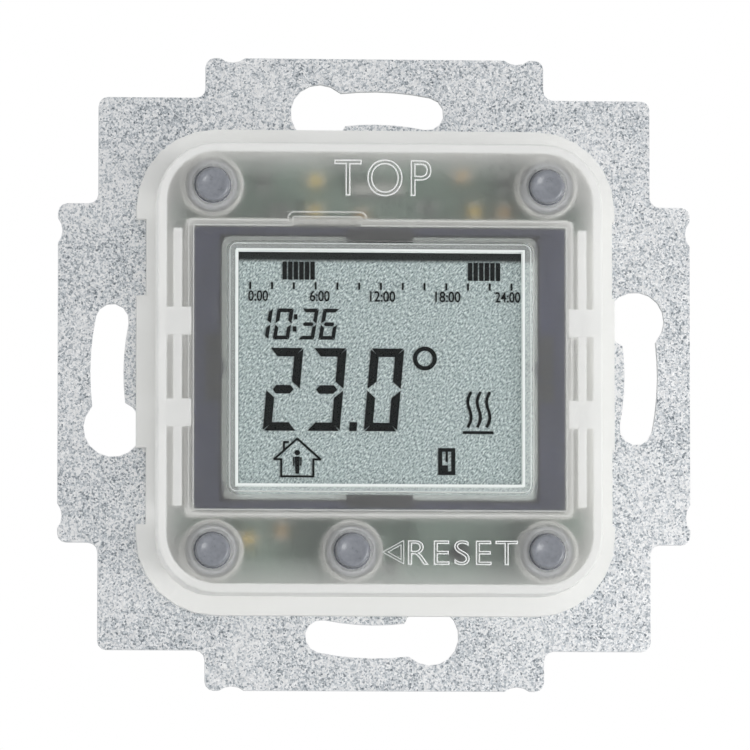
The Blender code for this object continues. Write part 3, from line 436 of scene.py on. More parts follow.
# bright tin dipped over steel: nearly white, softly mirrored
tin_plate = plated("tin_dipped_steel", "#BFC0BE", "#DADAD6", 0.22, 0.0006, 0.00001)
carry(tin_plate, "relay_yoke", "relay_armature", "relay_contact", "watch_crystal", "backup_capacitor")
carry(wound_wire(), "relay_coil")
# flame-retardant yellow case, moulded, with a slight gloss
case_yellow = moulded("yellow_polyester_moulded", "#D9A52B", "#E1B140", 0.35, 0.0005, 0.00002)
carry(case_yellow, "suppression_capacitor")
# ceramic disc dipped in blue epoxy: glossy, with a slow orange-peel wave
dipped_blue = moulded("blue_epoxy_dipped", "#2E5C9E", "#3768A8", 0.25, 0.0012, 0.00006, coat=0.5)
carry(dipped_blue, "varistor")


# The control board, close behind the milky front: switches under the pins, and rows of small chips
# soldered beside the display, whose tan and black bodies glimmer through the plastic.
# soft grey nylon, moulded: the stems that the pins press
stem_grey = moulded("grey_nylon_moulded", "#7B7C7E", "#858688", 0.45, 0.0003, 0.00002)
PINS = ("top_left", "top_right", "bottom_left", "bottom_right", "reset")
for pin in PINS:
    carry(black_epoxy, f"switch_body_{pin}")
    carry(stem_grey, f"switch_stem_{pin}")
board_low, board_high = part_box("control_board")
holder_low, holder_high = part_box("lcd_holder")
# fired ceramic with a matt biscuit face: the tan chip capacitors
ceramic_tan = moulded("tan_ceramic_fired", "#C79A5A", "#D8B070", 0.5, 0.0003, 0.00001)
# a paler tantalum yellow, moulded
tantalum_yellow = moulded("yellow_tantalum_moulded", "#E0B93E", "#EBCB62", 0.45, 0.0003, 0.00001)
CHIP_LONG = 0.0020
CHIP_WIDE = 0.0012
CHIP_TALL = 0.0009
CHIP_CAP = 0.00045
CHIP_WRAP = 0.00003
CHIP_GAP = 0.00005


def chip(name, x, z, upright, material):
    """A chip on the front of the board, with a soldered cap wrapped round each end."""
    along = 2 if upright else 0
    half = Vector((CHIP_WIDE, CHIP_TALL, CHIP_WIDE)) / 2
    half[along] = CHIP_LONG / 2
    middle = Vector((x, board_low.y - CHIP_GAP - CHIP_TALL / 2, z))
    block(name, middle - half, middle + half, CHIP_WRAP * 2, material)
    for side, end in (("a", -1), ("b", 1)):
        cap = half + Vector((CHIP_WRAP, CHIP_WRAP, CHIP_WRAP))
        cap[along] = CHIP_CAP / 2
        place = middle.copy()
        place[along] += end * (half[along] - CHIP_CAP / 2 + CHIP_WRAP)
        block(f"{name}_solder_{side}", place - cap, place + cap, CHIP_WRAP, tin_plate)


chance = random.Random(11)
CHIP_ROWS = (
    (holder_high.z + 0.0022, -0.0150, 0.0150, 8),
    (holder_high.z + 0.0058, -0.0120, 0.0140, 6),
    (holder_low.z - 0.0026, -0.0140, -0.0070, 3),
    (holder_low.z - 0.0068, 0.0020, 0.0150, 5),
)  # for each row: its height, its first and last chip across, and their number
STRAY_ACROSS = 0.0008
STRAY_UP = 0.0006
UPRIGHT_SHARE = 0.4
CHIP_COLOURS = (ceramic_tan, black_epoxy, tantalum_yellow)
taken = [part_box(f"switch_body_{pin}") for pin in PINS]
taken += [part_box(node) for node in ("temperature_sensor", "watch_crystal", "backup_capacitor")]
chips = 0
for height, first, last, count in CHIP_ROWS:
    for i in range(count):
        x = first + (last - first) * i / (count - 1) + chance.uniform(-STRAY_ACROSS, STRAY_ACROSS)
        z = height + chance.uniform(-STRAY_UP, STRAY_UP)
        upright = chance.random() < UPRIGHT_SHARE
        room = CHIP_LONG / 2 + CHIP_WRAP * 4
        blocked = any(a.x - room < x < b.x + room and a.z - room < z < b.z + room for a, b in taken)
        if blocked or abs(z) > board_high.z - room:
            continue
        chips += 1
        chip(f"chip_{chips}", x, z, upright, CHIP_COLOURS[chips % len(CHIP_COLOURS)])


# The LCD and its holder. The holder is a dark grey frame moulded in ABS, the display is two sheets of
# glass with liquid crystal between them and a grained reflector behind, and striped silicone rubber
# under it carries the current from the board.
def striped_rubber():
    """Silicone rubber, pressed in layers: carbon-black stripes 0.1 mm wide in a grey bar."""
    material, tree, place = finish_named("striped_silicone_rubber")
    stripes = put(tree, "TexWave", {"bands_direction": "X", "Scale": bands(0.0002)}, {"Vector": place})
    tint = ramp(tree, stripes.outputs["Fac"], (0.45, "#1E1E20"), (0.55, "#8E8E8C"))
    rubber = put(tree, "BsdfPrincipled", {"Roughness": 0.6}, {"Base Color": tint.outputs[0]})
    return shown(material, rubber)


# ABS with a fine moulded grain: a bluish dark grey that takes a soft light
holder_abs = moulded("dark_abs_moulded", "#14172B", "#23284A", 0.4, 0.0003, 0.00003)
carry(holder_abs, "lcd_holder")
carry(striped_rubber(), "zebra_strip_top", "zebra_strip_bottom")
MARK_R = 0.00145
MARK_LINE = 0.00009
mark_x = holder_high.x - 0.0018
mark_z = holder_high.z - 0.0023
for number, (x, z) in enumerate(((-1, 0), (1, 0), (-1, -1), (1, -1), (1, 1)), 1):
    centre = (x * mark_x, z * mark_z)
    name = f"holder_ejector_mark_{number}"
    ring(name, centre, MARK_R, MARK_LINE, holder_low.y, holder_abs)

lcd_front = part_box("lcd_panel")[0].y
# the part of the glass that shows, inside the bevelled edge of the window
GLASS_LEFT = -0.01615
GLASS_TOP = 0.0132


def lcd_glass():
    """A grained reflector behind glass: silvery green-grey, with tiny diagonal sparks. A dark green-black
    band along the top and left edges is painted shadow, cast as by the window's frame."""
    material, tree, place = finish_named("grey_green_lcd_glass")
    slanted = put(
        tree,
        "Mapping",
        {"vector_type": "TEXTURE", "Rotation": (0, math.radians(40), 0), "Scale": (0.00017, 1, 0.00034)},
        {"Vector": place},
    )
    grained = {"Scale": 1.0, "Detail": 3.0, "Roughness": 0.7}
    spark = put(tree, "TexNoise", grained, {"Vector": slanted.outputs[0]})
    broad = put(tree, "TexNoise", {"Scale": 120.0, "Detail": 2.0}, {"Vector": place})
    silver = ramp(tree, spark.outputs["Fac"], (0.34, "#586266"), (0.50, "#B5BEC1"), (0.66, "#FAFCFC"))
    part = put(tree, "SeparateXYZ", {}, {0: place})
    # painted shadow: the glass darkens towards its top and left edges
    painted_shadow_bands = []
    for side, clear, dark in (
        ("Z", GLASS_TOP - 0.0015, GLASS_TOP - 0.0009),
        ("X", GLASS_LEFT + 0.0006, GLASS_LEFT + 0.0003),
    ):
        fade = {"From Min": clear, "From Max": dark, "interpolation_type": "SMOOTHSTEP"}
        painted_shadow_bands.append(put(tree, "MapRange", fade, {"Value": part.outputs[side]}).outputs[0])
    either = put(tree, "Math", {"operation": "MAXIMUM"}, dict(enumerate(painted_shadow_bands)))
    painted_shadow_glass = put(
        tree,
        "Mix",
        {"data_type": "RGBA", 7: linear("#0A1010")},
        {0: either.outputs[0], 6: silver.outputs[0]},
    )
    shine = put(tree, "MapRange", {"To Min": 0.28, "To Max": 0.42}, {"Value": broad.outputs["Fac"]})
    bump = put(tree, "Bump", {"Strength": 0.25, "Distance": 0.00003}, {"Height": spark.outputs["Fac"]})
    glass = put(
        tree,
        "BsdfPrincipled",
        {"Metallic": 0.25, "IOR": 1.5},
        {"Base Color": painted_shadow_glass.outputs[2], "Roughness": shine.outputs[0], "Normal": bump.outputs[0]},
    )
    return shown(material, glass)


def crystal_black():
    """Liquid crystal when switched on: blue-black, with the reflector's grain faintly showing."""
    material, tree, place = finish_named("liquid_crystal_dark")
    grain = put(tree, "TexNoise", {"Scale": 1 / 0.0004, "Detail": 2.0}, {"Vector": place})
    tint = ramp(tree, grain.outputs["Fac"], (0.3, "#050708"), (0.7, "#0F1415"))
    # the glass lies wet against the crystal, so hardly any light is thrown back between them
    dark = put(tree, "BsdfPrincipled", {"Roughness": 0.45, "IOR": 1.12}, {"Base Color": tint.outputs[0]})
    return shown(material, dark)


carry(lcd_glass(), "lcd_panel")
lcd_dark = crystal_black()
# the crystal's shapes float a little in front of the reflector, so each throws a faint shadow on it
INK_THICK = 0.00002
INK_LIFT = 0.00012
INK_FRONT = lcd_front - INK_LIFT


def plate(shape, outline, thick=INK_THICK, front=INK_FRONT):
    """Adds a thin plate with an outline in x and z to a shape, its front square to Y."""
    face = shape.faces.new([shape.verts.new((x, front, z)) for x, z in outline])
    pushed = bmesh.ops.extrude_face_region(shape, geom=[face])
    moved = [v for v in pushed["geom"] if isinstance(v, bmesh.types.BMVert)]
    bmesh.ops.translate(shape, verts=moved, vec=(0, thick, 0))


def rectangle(left, right, bottom, top):
    """The outline of a rectangle."""
    return [(left, bottom), (right, bottom), (right, top), (left, top)]


# the four recesses where the holder's latches let the display in: their shade is painted as thin near-black
# plates on the holder's face
recess_shade_abs = moulded("dark_abs_painted_latch_shade", "#05060B", "#0A0B14", 0.5, 0.0003, 0.00002)
LATCH_HALF = 0.0037
LATCH_SIDES = (0.0176, 0.0194)
LATCH_ENDS = (0.0141, 0.0155)
latch_shade_plates = bmesh.new()
for side in (-1, 1):
    inner, outer = (side * x for x in LATCH_SIDES)
    plate(latch_shade_plates, rectangle(inner, outer, -LATCH_HALF, LATCH_HALF), front=holder_low.y - INK_THICK)
    inner, outer = (side * z for z in LATCH_ENDS)
    plate(latch_shade_plates, rectangle(-LATCH_HALF, LATCH_HALF, inner, outer), front=holder_low.y - INK_THICK)


def closed(name, shape, material):
    """Closes a shape of thin plates as one piece."""
    bmesh.ops.recalc_face_normals(shape, faces=shape.faces)
    mesh = bpy.data.meshes.new(name)
    shape.to_mesh(mesh)
    shape.free()
    placed(name, mesh, material)


closed("holder_latch_painted_shade", latch_shade_plates, recess_shade_abs)


def stroke(shape, points, width):
    """A line of a given width through points, as one plate along each stretch."""
    for (ax, az), (bx, bz) in zip(points, points[1:]):
        along = Vector((bx - ax, bz - az)).normalized() * (width / 2)
        side = Vector((-along.y, along.x))
        a = Vector((ax, az)) - along * 0.5
        b = Vector((bx, bz)) + along * 0.5
        plate(shape, [tuple(a + side), tuple(b + side), tuple(b - side), tuple(a - side)])


SEGMENTS = {
    "0": "abcdef",
    "1": "bc",
    "2": "abged",
    "3": "abgcd",
    "6": "acdefg",
}
LEAN = math.tan(math.radians(5.0))


def seven_segments(shape, figure, left, right, bottom, top, thick, lean=LEAN):
    """A leaning seven-segment figure: bars with mitred ends, parted by thin gaps."""
    gap = thick * 0.10
    middle = (bottom + top) / 2
    half = thick / 2
    inset = thick * 0.62

    def across(z, x0, x1, inner):
        """A bar that lies: its outer edge long, its inner edge shortened by the mitre."""
        step = thick * inner
        return [(x0, z), (x1, z), (x1 - thick * 0.85, z - step), (x0 + thick * 0.85, z - step)]

    def upright(x, z0, z1, inner):
        """A bar that stands, mitred in the same way."""
        step = thick * inner
        return [(x, z0), (x, z1), (x - step, z1 - thick * 0.85), (x - step, z0 + thick * 0.85)]

    bars = {
        "a": across(top, left + gap, right - gap, 1),
        "d": across(bottom, left + gap, right - gap, -1),
        "g": [
            (left + inset + gap, middle),
            (left + inset + half, middle + half),
            (right - inset - half, middle + half),
            (right - inset - gap, middle),
            (right - inset - half, middle - half),
            (left + inset + half, middle - half),
        ],
        "b": upright(right, middle + gap, top - gap, 1),
        "c": upright(right, bottom + gap, middle - gap, 1),
        "f": upright(left, middle + gap, top - gap, -1),
        "e": upright(left, bottom + gap, middle - gap, -1),
    }
    for bar in SEGMENTS[figure]:
        plate(shape, [(x + (z - bottom) * lean, z) for x, z in bars[bar]])


# the day's timeline: twenty-five ticks would crowd it, so every second hour has one
DAY_LEFT = -0.01441
DAY_STEP = 0.002431
TICK_WIDTH = 0.00022
TICK_TOP = 0.00957
TICK_BOTTOM = 0.00888
BAR_TOP = 0.01192
BAR_BOTTOM = 0.00991
BAR_WIDTH = 0.00049
BAR_STEP = 0.000624
HEATED_FROM = (-0.01082, 0.00989)  # two spells of heating, each of six bars
timeline = bmesh.new()
for tick in range(13):
    x = DAY_LEFT + tick * DAY_STEP
    stroke(timeline, [(x, TICK_BOTTOM), (x, TICK_TOP)], TICK_WIDTH)
for first_bar in HEATED_FROM:
    for bar in range(6):
        x = first_bar + bar * BAR_STEP + BAR_WIDTH / 2
        stroke(timeline, [(x, BAR_BOTTOM + BAR_WIDTH / 4), (x, BAR_TOP - BAR_WIDTH / 4)], BAR_WIDTH)
closed("lcd_timeline", timeline, lcd_dark)
LABEL_TOP = 0.00869
LABEL_BOTTOM = 0.00749
LABEL_WEIGHT = 0.012
LABELS = (("0:00", -0.01353, 0.0022), ("6:00", -0.00666, 0.0022), ("12:00", 0.00036, 0.0028))
LABELS += (("18:00", 0.00765, 0.0028), ("24:00", 0.01434, 0.0028))
for words, middle, width in LABELS:
    name = "lcd_label_" + words.replace(":", "_")
    room = (middle - width / 2, middle + width / 2, LABEL_BOTTOM, LABEL_TOP)
    letters(name, words, room, INK_FRONT, lcd_dark, deep=INK_THICK, weight=LABEL_WEIGHT)

# the clock and the temperature
CLOCK_BOTTOM = 0.00322
CLOCK_TOP = 0.00668
CLOCK_WIDTH = 0.00180
CLOCK_THICK = 0.00042
CLOCK_LEAN = math.tan(math.radians(9.0))
COLON_LEFT = -0.00955
COLON_AT = (0.00420, 0.00555)
COLON_DOT = 0.00040
clock = bmesh.new()
for figure, left in (("1", -0.01420), ("0", -0.01190), ("3", -0.00910), ("6", -0.00680)):
    seven_segments(clock, figure, left, left + CLOCK_WIDTH, CLOCK_BOTTOM, CLOCK_TOP, CLOCK_THICK, CLOCK_LEAN)
for z in COLON_AT:
    x = COLON_LEFT + (z - CLOCK_BOTTOM) * LEAN
    stroke(clock, [(x, z), (x, z + COLON_DOT)], COLON_DOT)
closed("lcd_clock", clock, lcd_dark)
FIGURE_BOTTOM = -0.00696
FIGURE_TOP = 0.00228
FIGURE_WIDTH = 0.00372
FIGURE_THICK = 0.00095
POINT_LEFT = -0.00337
POINT_WIDTH = 0.00083
POINT_LEAN = 0.00006
POINT_TOP = -0.00596
temperature = bmesh.new()
for figure, left in (("2", -0.01300), ("3", -0.00815), ("0", -0.00175)):
    seven_segments(temperature, figure, left, left + FIGURE_WIDTH, FIGURE_BOTTOM, FIGURE_TOP, FIGURE_THICK)
point_right = POINT_LEFT + POINT_WIDTH
point_top = [(point_right + POINT_LEAN, POINT_TOP), (POINT_LEFT + POINT_LEAN, POINT_TOP)]
plate(temperature, [(POINT_LEFT, FIGURE_BOTTOM), (point_right, FIGURE_BOTTOM), *point_top])
closed("lcd_temperature", temperature, lcd_dark)


def ink_ring(shape, centre, inner, outer):
    """A flat ring, as plates round a circle."""
    steps = 36
    for i in range(steps):
        a, b = (math.tau * k / steps for k in (i, i + 1))
        corners = ((a, inner), (a, outer), (b, outer), (b, inner))
        outline = [(centre[0] + r * math.cos(t), centre[1] + r * math.sin(t)) for t, r in corners]
        plate(shape, outline)


DEGREE_MIDDLE = (0.00507, 0.00119)
DEGREE_INNER = 0.00086
DEGREE_OUTER = 0.00134
degree = bmesh.new()
ink_ring(degree, DEGREE_MIDDLE, DEGREE_INNER, DEGREE_OUTER)
closed("lcd_degree_sign", degree, lcd_dark)

# a house with someone at home, three waves of warmth over a line, and the day's number in a box
ICON_LINE = 0.00024
house = bmesh.new()
HOUSE_LEFT = -0.01174
HOUSE_RIGHT = -0.00656
HOUSE_BOTTOM = -0.01204
HOUSE_TOP = -0.00782
house_middle = (HOUSE_LEFT + HOUSE_RIGHT) / 2
eaves = HOUSE_BOTTOM + 0.0019
wall_left = HOUSE_LEFT + 0.0008
wall_right = HOUSE_RIGHT - 0.0008
stroke(house, [(HOUSE_LEFT, eaves), (house_middle, HOUSE_TOP), (HOUSE_RIGHT, eaves)], ICON_LINE)
stroke(house, [(HOUSE_LEFT, eaves), (wall_left, eaves), (wall_left, HOUSE_BOTTOM)], ICON_LINE)
stroke(house, [(wall_left, HOUSE_BOTTOM), (wall_right, HOUSE_BOTTOM)], ICON_LINE)
stroke(house, [(wall_right, HOUSE_BOTTOM), (wall_right, eaves), (HOUSE_RIGHT, eaves)], ICON_LINE)
chimney = HOUSE_LEFT + 0.0011
chimney_top = HOUSE_TOP - 0.0004
stroke(house, [(chimney, eaves + 0.0009), (chimney, chimney_top), (chimney + 0.0005, chimney_top)], ICON_LINE)
# the person in it: a round head, two arms, and a body that narrows to the feet
HEAD_R = 0.00030
ARM_LINE = 0.00014
ARM_REACH = 0.00040
SHOULDER_HALF = 0.00030
FEET_HALF = 0.00020
hands, feet = HOUSE_BOTTOM + 0.0012, HOUSE_BOTTOM + 0.0003
armpit, shoulder = HOUSE_BOTTOM + 0.0021, HOUSE_BOTTOM + 0.0022
ink_ring(house, (house_middle, HOUSE_BOTTOM + 0.00265), 0.0, HEAD_R)
for side in (-1, 1):
    arm = house_middle + side * ARM_REACH
    stroke(house, [(arm, armpit), (arm, hands)], ARM_LINE)
torso = [(house_middle - SHOULDER_HALF, shoulder), (house_middle + SHOULDER_HALF, shoulder)]
torso += [(house_middle + FEET_HALF, feet), (house_middle - FEET_HALF, feet)]
plate(house, torso)
closed("lcd_house", house, lcd_dark)
warmth = bmesh.new()
WAVE_LINE = ICON_LINE * 1.35
WAVE_BOTTOM = -0.00640
WAVE_TOP = -0.00257
WAVES_AT = (0.00990, 0.01095, 0.01200)
WAVE_SLANT = 0.00030
WAVE_SWAY = 0.00026
WAVE_STEPS = 12
GROUND = -0.00705
GROUND_ENDS = (0.00938, 0.01266)
for x in WAVES_AT:
    path = []
    for i in range(WAVE_STEPS + 1):
        share = i / WAVE_STEPS
        z = WAVE_BOTTOM + (WAVE_TOP - WAVE_BOTTOM) * share
        path.append((x + WAVE_SLANT * share + WAVE_SWAY * math.sin(share * math.tau), z))
    stroke(warmth, path, WAVE_LINE)
stroke(warmth, [(x, GROUND) for x in GROUND_ENDS], WAVE_LINE)
closed("lcd_warmth", warmth, lcd_dark)
day = bmesh.new()
DAY_BOX = (0.00655, 0.00846, -0.01180, -0.00879)
# the figure 4 is left open in the dark box, so the box is the pieces round it
left, right, bottom, top = DAY_BOX
width, height = right - left, top - bottom
bar = width * 0.19
inner_left, inner_right = left + width * 0.24, left + width * 0.76
cross_low, cross_high = bottom + height * 0.36, bottom + height * 0.48
leg_low = bottom + height * 0.14
leg_high = top - height * 0.14
for sides in (
    (left, inner_left, bottom, top),
    (inner_right, right, bottom, top),
    (inner_left, inner_right, bottom, leg_low),
    (inner_left, inner_right, leg_high, top),
    (inner_left, inner_right - bar, leg_low, cross_low),
    (inner_left + bar, inner_right - bar, cross_high, leg_high),
):
    plate(day, rectangle(*sides))
closed("lcd_day_number", day, lcd_dark)


# The support frame, pressed from 1 mm steel sheet and zinc plated. The zinc has set in fine crystals
# that sparkle black, white and blue, and a painted highlight brightens the cut edges.
def spangled_zinc():
    """Zinc plated sheet: each crystal, 0.2 mm across, mirrors its own patch of the room."""
    material, tree, place = finish_named("zinc_plated_sheet_steel")
    crystals = put(tree, "TexVoronoi", {"Scale": 1 / 0.00020, "Randomness": 1.0}, {"Vector": place})
    split = put(tree, "SeparateColor", {}, {0: crystals.outputs["Color"]})
    sand = put(tree, "TexNoise", {"Scale": 1 / 0.00018, "Detail": 3.0, "Roughness": 0.7}, {"Vector": place})
    cloud = put(tree, "TexNoise", {"Scale": 1 / 0.009, "Detail": 2.0}, {"Vector": place})
    grains = {0: split.outputs[0], 2: sand.outputs["Fac"]}
    mixed = put(tree, "Math", {"operation": "MULTIPLY_ADD", 1: 0.45}, grains)
    drifts = {0: cloud.outputs["Fac"], 2: mixed.outputs[0]}
    clouded = put(tree, "Math", {"operation": "MULTIPLY_ADD", 1: 0.30}, drifts)
    greys = ((0.55, "#6F767D"), (0.72, "#C3C9CE"), (0.88, "#E6E9EC"), (1.00, "#FFFFFF"))
    zinc = ramp(tree, clouded.outputs[0], *greys)
    shine = put(tree, "MapRange", {"To Min": 0.30, "To Max": 0.52}, {"Value": split.outputs[1]})
    bump = put(tree, "Bump", {"Strength": 0.35, "Distance": 0.00002}, {"Height": mixed.outputs[0]})
    # a painted highlight 0.1 mm wide runs round every cut edge, where the rounded normal turns from the flat
    # one
    rounded_normal = put(tree, "Bevel", {"Radius": 0.00012, "samples": 4})
    flat = put(tree, "NewGeometry", {})
    facings = {0: rounded_normal.outputs[0], 1: flat.outputs["Normal"]}
    turned = put(tree, "VectorMath", {"operation": "DOT_PRODUCT"}, facings)
    edge = put(tree, "MapRange", {"From Min": 0.995, "From Max": 0.85}, {"Value": turned.outputs["Value"]})
    edge_highlighted = put(
        tree,
        "Mix",
        {"data_type": "RGBA", 7: linear("#FAFBFB")},
        {0: edge.outputs[0], 6: zinc.outputs[0]},
    )
    metal = put(
        tree,
        "BsdfPrincipled",
        {"Metallic": 1.0},
        {"Base Color": edge_highlighted.outputs[2], "Roughness": shine.outputs[0], "Normal": bump.outputs[0]},
    )
    return shown(material, metal)


carry(spangled_zinc(), "mounting_frame")


# The front, moulded in milky polycarbonate with a satin face. Its 1 mm wall blurs what lies behind it,
# more the deeper it lies, and its ribs, hooks and flange look whiter where light crosses more plastic.
cover_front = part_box("front_cover")[0].y
WALL = 0.0010
# what lies behind the face, by middle and half size: the inside of the side walls, the straight
# ribs, the roots of the snap arms, the tongue above the display, and the bosses round the pins
INNER_X = 0.0238
INNER_Z = 0.0241
INNER_CORNER = 0.0056
RIB_X = 0.02255
RIB_HALF = 0.00035
RIB_END = 0.01535
ROOT_X = 0.0226
ROOT_Z = 0.0051
ROOT_HALF = 0.00145
TONGUE_MIDDLE = (-0.00592, 0.0146)
TONGUE_HALF = (0.00366, 0.00207)
BOSS_R = 0.00250


def milky_polycarbonate():
    """Polycarbonate with a trace of white: a soft veil over a rough, see-through body."""
    material, tree, place = finish_named("milky_polycarbonate_satin")
    part = put(tree, "SeparateXYZ", {}, {0: place})
    folded = put(tree, "VectorMath", {"operation": "ABSOLUTE"}, {0: place})

    def beyond(spot, middle, half, corner):
        """How far a point lies past the straight sides of a box whose corners have the given radius."""
        off = put(tree, "VectorMath", {"operation": "SUBTRACT", 1: (middle[0], 0, middle[1])}, {0: spot})
        size = put(tree, "VectorMath", {"operation": "ABSOLUTE"}, {0: off.outputs[0]})
        room = (half[0] - corner, 1, half[1] - corner)
        past = put(tree, "VectorMath", {"operation": "SUBTRACT", 1: room}, {0: size.outputs[0]})
        out = put(tree, "VectorMath", {"operation": "MAXIMUM", 1: (0, 0, 0)}, {0: past.outputs[0]})
        return put(tree, "VectorMath", {"operation": "LENGTH"}, {0: out.outputs[0]}).outputs["Value"]

    def whiter(so_far, distance, nothing, full, amount):
        """Lets the plastic whiten up to an amount as a distance goes from one value to another."""
        reach = {"From Min": nothing, "From Max": full, "To Max": amount}
        share = put(tree, "MapRange", reach, {"Value": distance})
        most = put(tree, "Math", {"operation": "MAXIMUM"}, {0: so_far, 1: share.outputs[0]})
        return most.outputs[0]

    def from_edge(distance, edge):
        """How far a distance is from an edge, on either side of it."""
        off = put(tree, "Math", {"operation": "SUBTRACT", 1: edge}, {0: distance})
        return put(tree, "Math", {"operation": "ABSOLUTE"}, {0: off.outputs[0]}).outputs[0]

    # past the front wall, sight lines run along the plastic and it looks denser
    past_wall = {"From Min": cover_front + WALL * 1.02, "From Max": cover_front + WALL * 1.10}
    deep = put(tree, "MapRange", past_wall, {"Value": part.outputs["Y"]}).outputs[0]
    # so it does over the side walls, and the plastic is whitened for 3.4 mm inside them as painted light
    # creeping in from them
    inside = beyond(place, (0, 0), (INNER_X, INNER_Z), INNER_CORNER)
    deep = whiter(deep, inside, INNER_CORNER - 0.00015, INNER_CORNER + 0.00010, 0.92)
    deep = whiter(deep, inside, INNER_CORNER - 0.0034, INNER_CORNER, 0.17)
    # the straight ribs and the snap arms' roots behind each side
    rib = beyond(folded.outputs[0], (RIB_X, 0), (RIB_HALF, RIB_END), 0)
    deep = whiter(deep, rib, 0.00022, 0.00002, 0.80)
    root = beyond(folded.outputs[0], (ROOT_X, ROOT_Z), (ROOT_HALF, ROOT_HALF), 0)
    deep = whiter(deep, root, 0.00016, 0.00002, 0.85)
    # the two edges of the low rib round the holder, and the tongue it makes at the top
    frame_edge = beyond(place, (0, 0), (holder_high.x, holder_high.z), 0)
    tongue_edge = beyond(place, TONGUE_MIDDLE, TONGUE_HALF, 0)
    rib_edge = put(tree, "Math", {"operation": "MINIMUM"}, {0: frame_edge, 1: tongue_edge})
    for edge in (0.00016, 0.00070):
        deep = whiter(deep, from_edge(rib_edge.outputs[0], edge), 0.00009, 0.00004, 0.48)
    # a boss round each pin
    for pin in PINS:
        low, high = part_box("button_" + pin)
        centre = ((low.x + high.x) / 2, (low.z + high.z) / 2)
        away = beyond(place, centre, (0, 0), 0)
        deep = whiter(deep, away, 0.00360, 0.00320, 0.09)
        deep = whiter(deep, from_edge(away, BOSS_R), 0.00018, 0.00005, 0.22)
    satin = put(tree, "TexNoise", {"Scale": 1 / 0.00025, "Detail": 3.0}, {"Vector": place})
    flow = put(tree, "TexNoise", {"Scale": 1 / 0.012, "Detail": 2.0}, {"Vector": place})
    bump = put(tree, "Bump", {"Strength": 0.2, "Distance": 0.00002}, {"Height": satin.outputs["Fac"]})
    tint = put(
        tree,
        "Mix",
        {"data_type": "RGBA", 6: linear("#F8F8F5"), 7: linear("#FDFDFC")},
        {0: flow.outputs["Fac"]},
    )
    # the white is not evenly mixed in, which shows as a fine speckle
    speck = put(tree, "TexNoise", {"Scale": 1 / 0.00014, "Detail": 2.0, "Roughness": 0.7}, {"Vector": place})
    spread = {"From Min": 0.3, "From Max": 0.7, "To Min": -0.07, "To Max": 0.07}
    uneven = put(tree, "MapRange", spread, {"Value": speck.outputs["Fac"]})
    speckled = put(tree, "Math", {"operation": "ADD", "use_clamp": True}, {0: deep, 1: uneven.outputs[0]})
    deep = speckled.outputs[0]
    clearness = put(tree, "MapRange", {"To Min": 0.985, "To Max": 0.08}, {"Value": deep})
    body = put(
        tree,
        "BsdfPrincipled",
        {"Roughness": 0.42, "IOR": 1.45},
        {
            "Base Color": tint.outputs[2],
            "Transmission Weight": clearness.outputs[0],
            "Normal": bump.outputs[0],
        },
    )
    glow = put(tree, "BsdfTranslucent", {"Color": linear("#FCFCFB")})
    milk = put(tree, "MapRange", {"To Min": 0.0, "To Max": 0.20}, {"Value": deep})
    milked = put(tree, "MixShader", {}, {0: milk.outputs[0], 1: body.outputs[0], 2: glow.outputs[0]})
    # lamps shine through the thin plastic
    in_shade = put(tree, "LightPath", {}).outputs["Is Shadow Ray"]
    through = put(tree, "BsdfTransparent", {"Color": linear("#F6F6F6")})
    whole = put(tree, "MixShader", {}, {0: in_shade, 1: milked.outputs[0], 2: through.outputs[0]})
    return shown(material, whole)


carry(milky_polycarbonate(), "front_cover")


def frosted_polycarbonate():
    """The lettering's mould was left rougher, so it stands out as a whiter, frosted line."""
    material, tree, place = finish_named("white_frosted_polycarbonate")
    frost = put(tree, "TexNoise", {"Scale": 1 / 0.0003, "Detail": 3.0}, {"Vector": place})
    tint = ramp(tree, frost.outputs["Fac"], (0.3, "#E6E7E5"), (0.7, "#FAFBFA"))
    bump = put(tree, "Bump", {"Strength": 0.3, "Distance": 0.00003}, {"Height": frost.outputs["Fac"]})
    frosted = put(
        tree,
        "BsdfPrincipled",
        {"Roughness": 0.5, "IOR": 1.45},
        {"Base Color": tint.outputs[0], "Normal": bump.outputs[0]},
    )
    return shown(material, frosted)


frosted = frosted_polycarbonate()
OUTLINE = 0.00009
TOP_WORD = (-0.00509, 0.00560, 0.01923, 0.02320)
RESET_WORD = (0.00311, 0.01522, -0.02188, -0.01922)
OUTLINE_WEIGHT = -0.012
for name, words, room, line in (
    ("top_word_outline", "TOP", TOP_WORD, OUTLINE),
    ("reset_word_outline", "RESET", RESET_WORD, OUTLINE * 0.8),
):
    letters(name, words, room, cover_front, frosted, line=line, weight=OUTLINE_WEIGHT)
ARROW_TIP = 0.00023
ARROW_BACK = 0.00258
ARROW_TOP = -0.01922
ARROW_BOTTOM = -0.02180
arrow_middle = (ARROW_TOP + ARROW_BOTTOM) / 2
arrow_curve = bpy.data.curves.new("reset_arrow_outline", "CURVE")
arrow_curve.dimensions = "3D"
arrow_curve.bevel_depth = OUTLINE
arrow_curve.bevel_resolution = 2
ARROW_BAND = 0.00030
for inset in (0.0, ARROW_BAND):
    run = arrow_curve.splines.new("POLY")
    run.points.add(2)
    run.use_cyclic_u = True
    corners = (
        (ARROW_TIP + inset * 2, arrow_middle),
        (ARROW_BACK - inset, ARROW_TOP - inset * 1.6),
        (ARROW_BACK - inset, ARROW_BOTTOM + inset * 1.6),
    )
    for point, (x, z) in zip(run.points, corners):
        point.co = (x, cover_front, z, 1)
placed("reset_arrow_outline", arrow_curve, frosted)


# The window, clear acrylic with a bevel round it that carries a painted white highlight line. It is
# pushed in from behind, and a thin bead of glue on its lip holds it.
BEVEL_LINE = 0.00026
BEVEL_HALF_WIDTH = 0.01597
BEVEL_HALF_HEIGHT = 0.01310


